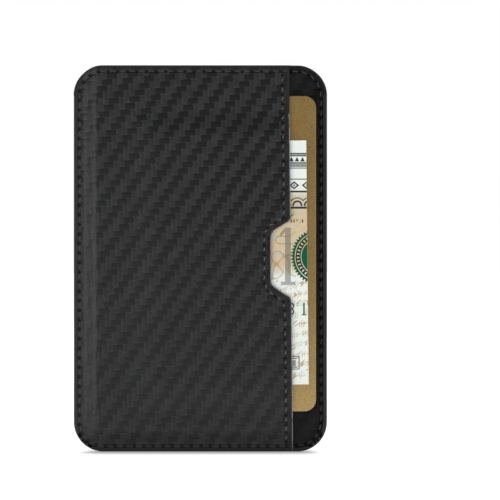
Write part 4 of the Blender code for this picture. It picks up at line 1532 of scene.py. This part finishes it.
def studio():
    """A pale floor with a painted contact shadow round the wallet's base, a white surround and three
    soft lights.
    """
    scene = bpy.context.scene
    scene.view_settings.view_transform = "Standard"
    floor = bmesh.new()
    bmesh.ops.create_grid(floor, x_segments=1, y_segments=1, size=4)
    mesh = bpy.data.meshes.new("floor")
    floor.to_mesh(mesh)
    floor.free()
    look, n, shader = new_material("floor_white")
    tone = n.noise(object_place(n), 3.0)
    n.feed(shader["Base Color"], n.blend(tone, (0.93, 0.93, 0.93), (0.95, 0.95, 0.95)))
    n.feed(shader["Roughness"], n.scaled(tone, 0.1, 0.8))
    shader["Emission Color"].default_value = (1, 1, 1, 1)
    # The floor's glow dims near the wallet's base: a painted contact shadow.
    x, y, _ = n.split(object_place(n))
    beside = n.math("MAXIMUM", n.minus(n.size(x), WIDTH / 2 - CORNER), 0.0)
    before = n.size(n.minus(y, SEAM_Y))
    shade_from, shade_to = 1.5 * MM, 11 * MM
    glow_with_painted_shadow = n.step(reach(n, beside, before), shade_from, shade_to, 0.2, 0.8)
    n.feed(shader["Emission Strength"], glow_with_painted_shadow)
    mesh.materials.append(look)
    stage = bpy.data.objects.new("floor", mesh)
    scene.collection.objects.link(stage)
    world = bpy.data.worlds.new("studio")
    scene.world = world
    world.use_nodes = True
    world.node_tree.nodes.clear()
    w = Nodes(world.node_tree)
    seen = w.add("ShaderNodeBackground", {"Color": (1, 1, 1), "Strength": 1.0})
    lit = w.add("ShaderNodeBackground", {"Color": (1, 1, 1), "Strength": 0.39})
    camera_ray = w.add("ShaderNodeLightPath").outputs["Is Camera Ray"]
    both = w.add("ShaderNodeMixShader", {0: camera_ray, 1: lit.outputs[0], 2: seen.outputs[0]})
    w.tree.links.new(both.outputs[0], w.add("ShaderNodeOutputWorld").inputs[0])
    aim = Vector((0, 0, HEIGHT / 2))
    for name, place, size, power in (
        ("key", (-0.37, -0.36, 0.03), 0.25, 0.92),
        ("fill", (0.5, -0.6, 0.25), 0.5, 0.12),
        ("back", (0.1, 0.6, 0.5), 0.6, 2.5),
    ):
        light = bpy.data.lights.new(name, "AREA")
        light.shape = "DISK"
        light.size = size
        light.energy = power
        lamp = bpy.data.objects.new(name, light)
        lamp.location = place
        lamp.rotation_mode = "QUATERNION"
        lamp.rotation_quaternion = (aim - Vector(place)).to_track_quat("-Z", "Y")
        scene.collection.objects.link(lamp)


def camera():
    """Looks square at the front, level with the wallet, from slightly to its right."""
    lens, sensor = 135.0, 36.0
    view_width = 135.76 * MM
    aim = Vector((13.51 * MM, gold_low[1], HEIGHT / 2 + 2.4 * MM))
    data = bpy.data.cameras.new("camera")
    data.lens, data.sensor_width = lens, sensor
    made = bpy.data.objects.new("camera", data)
    made.location = aim - Vector((0, view_width * lens / sensor, 0))
    made.rotation_euler = (math.pi / 2, 0, 0)
    bpy.context.scene.collection.objects.link(made)
    bpy.context.scene.camera = made


studio()
camera()
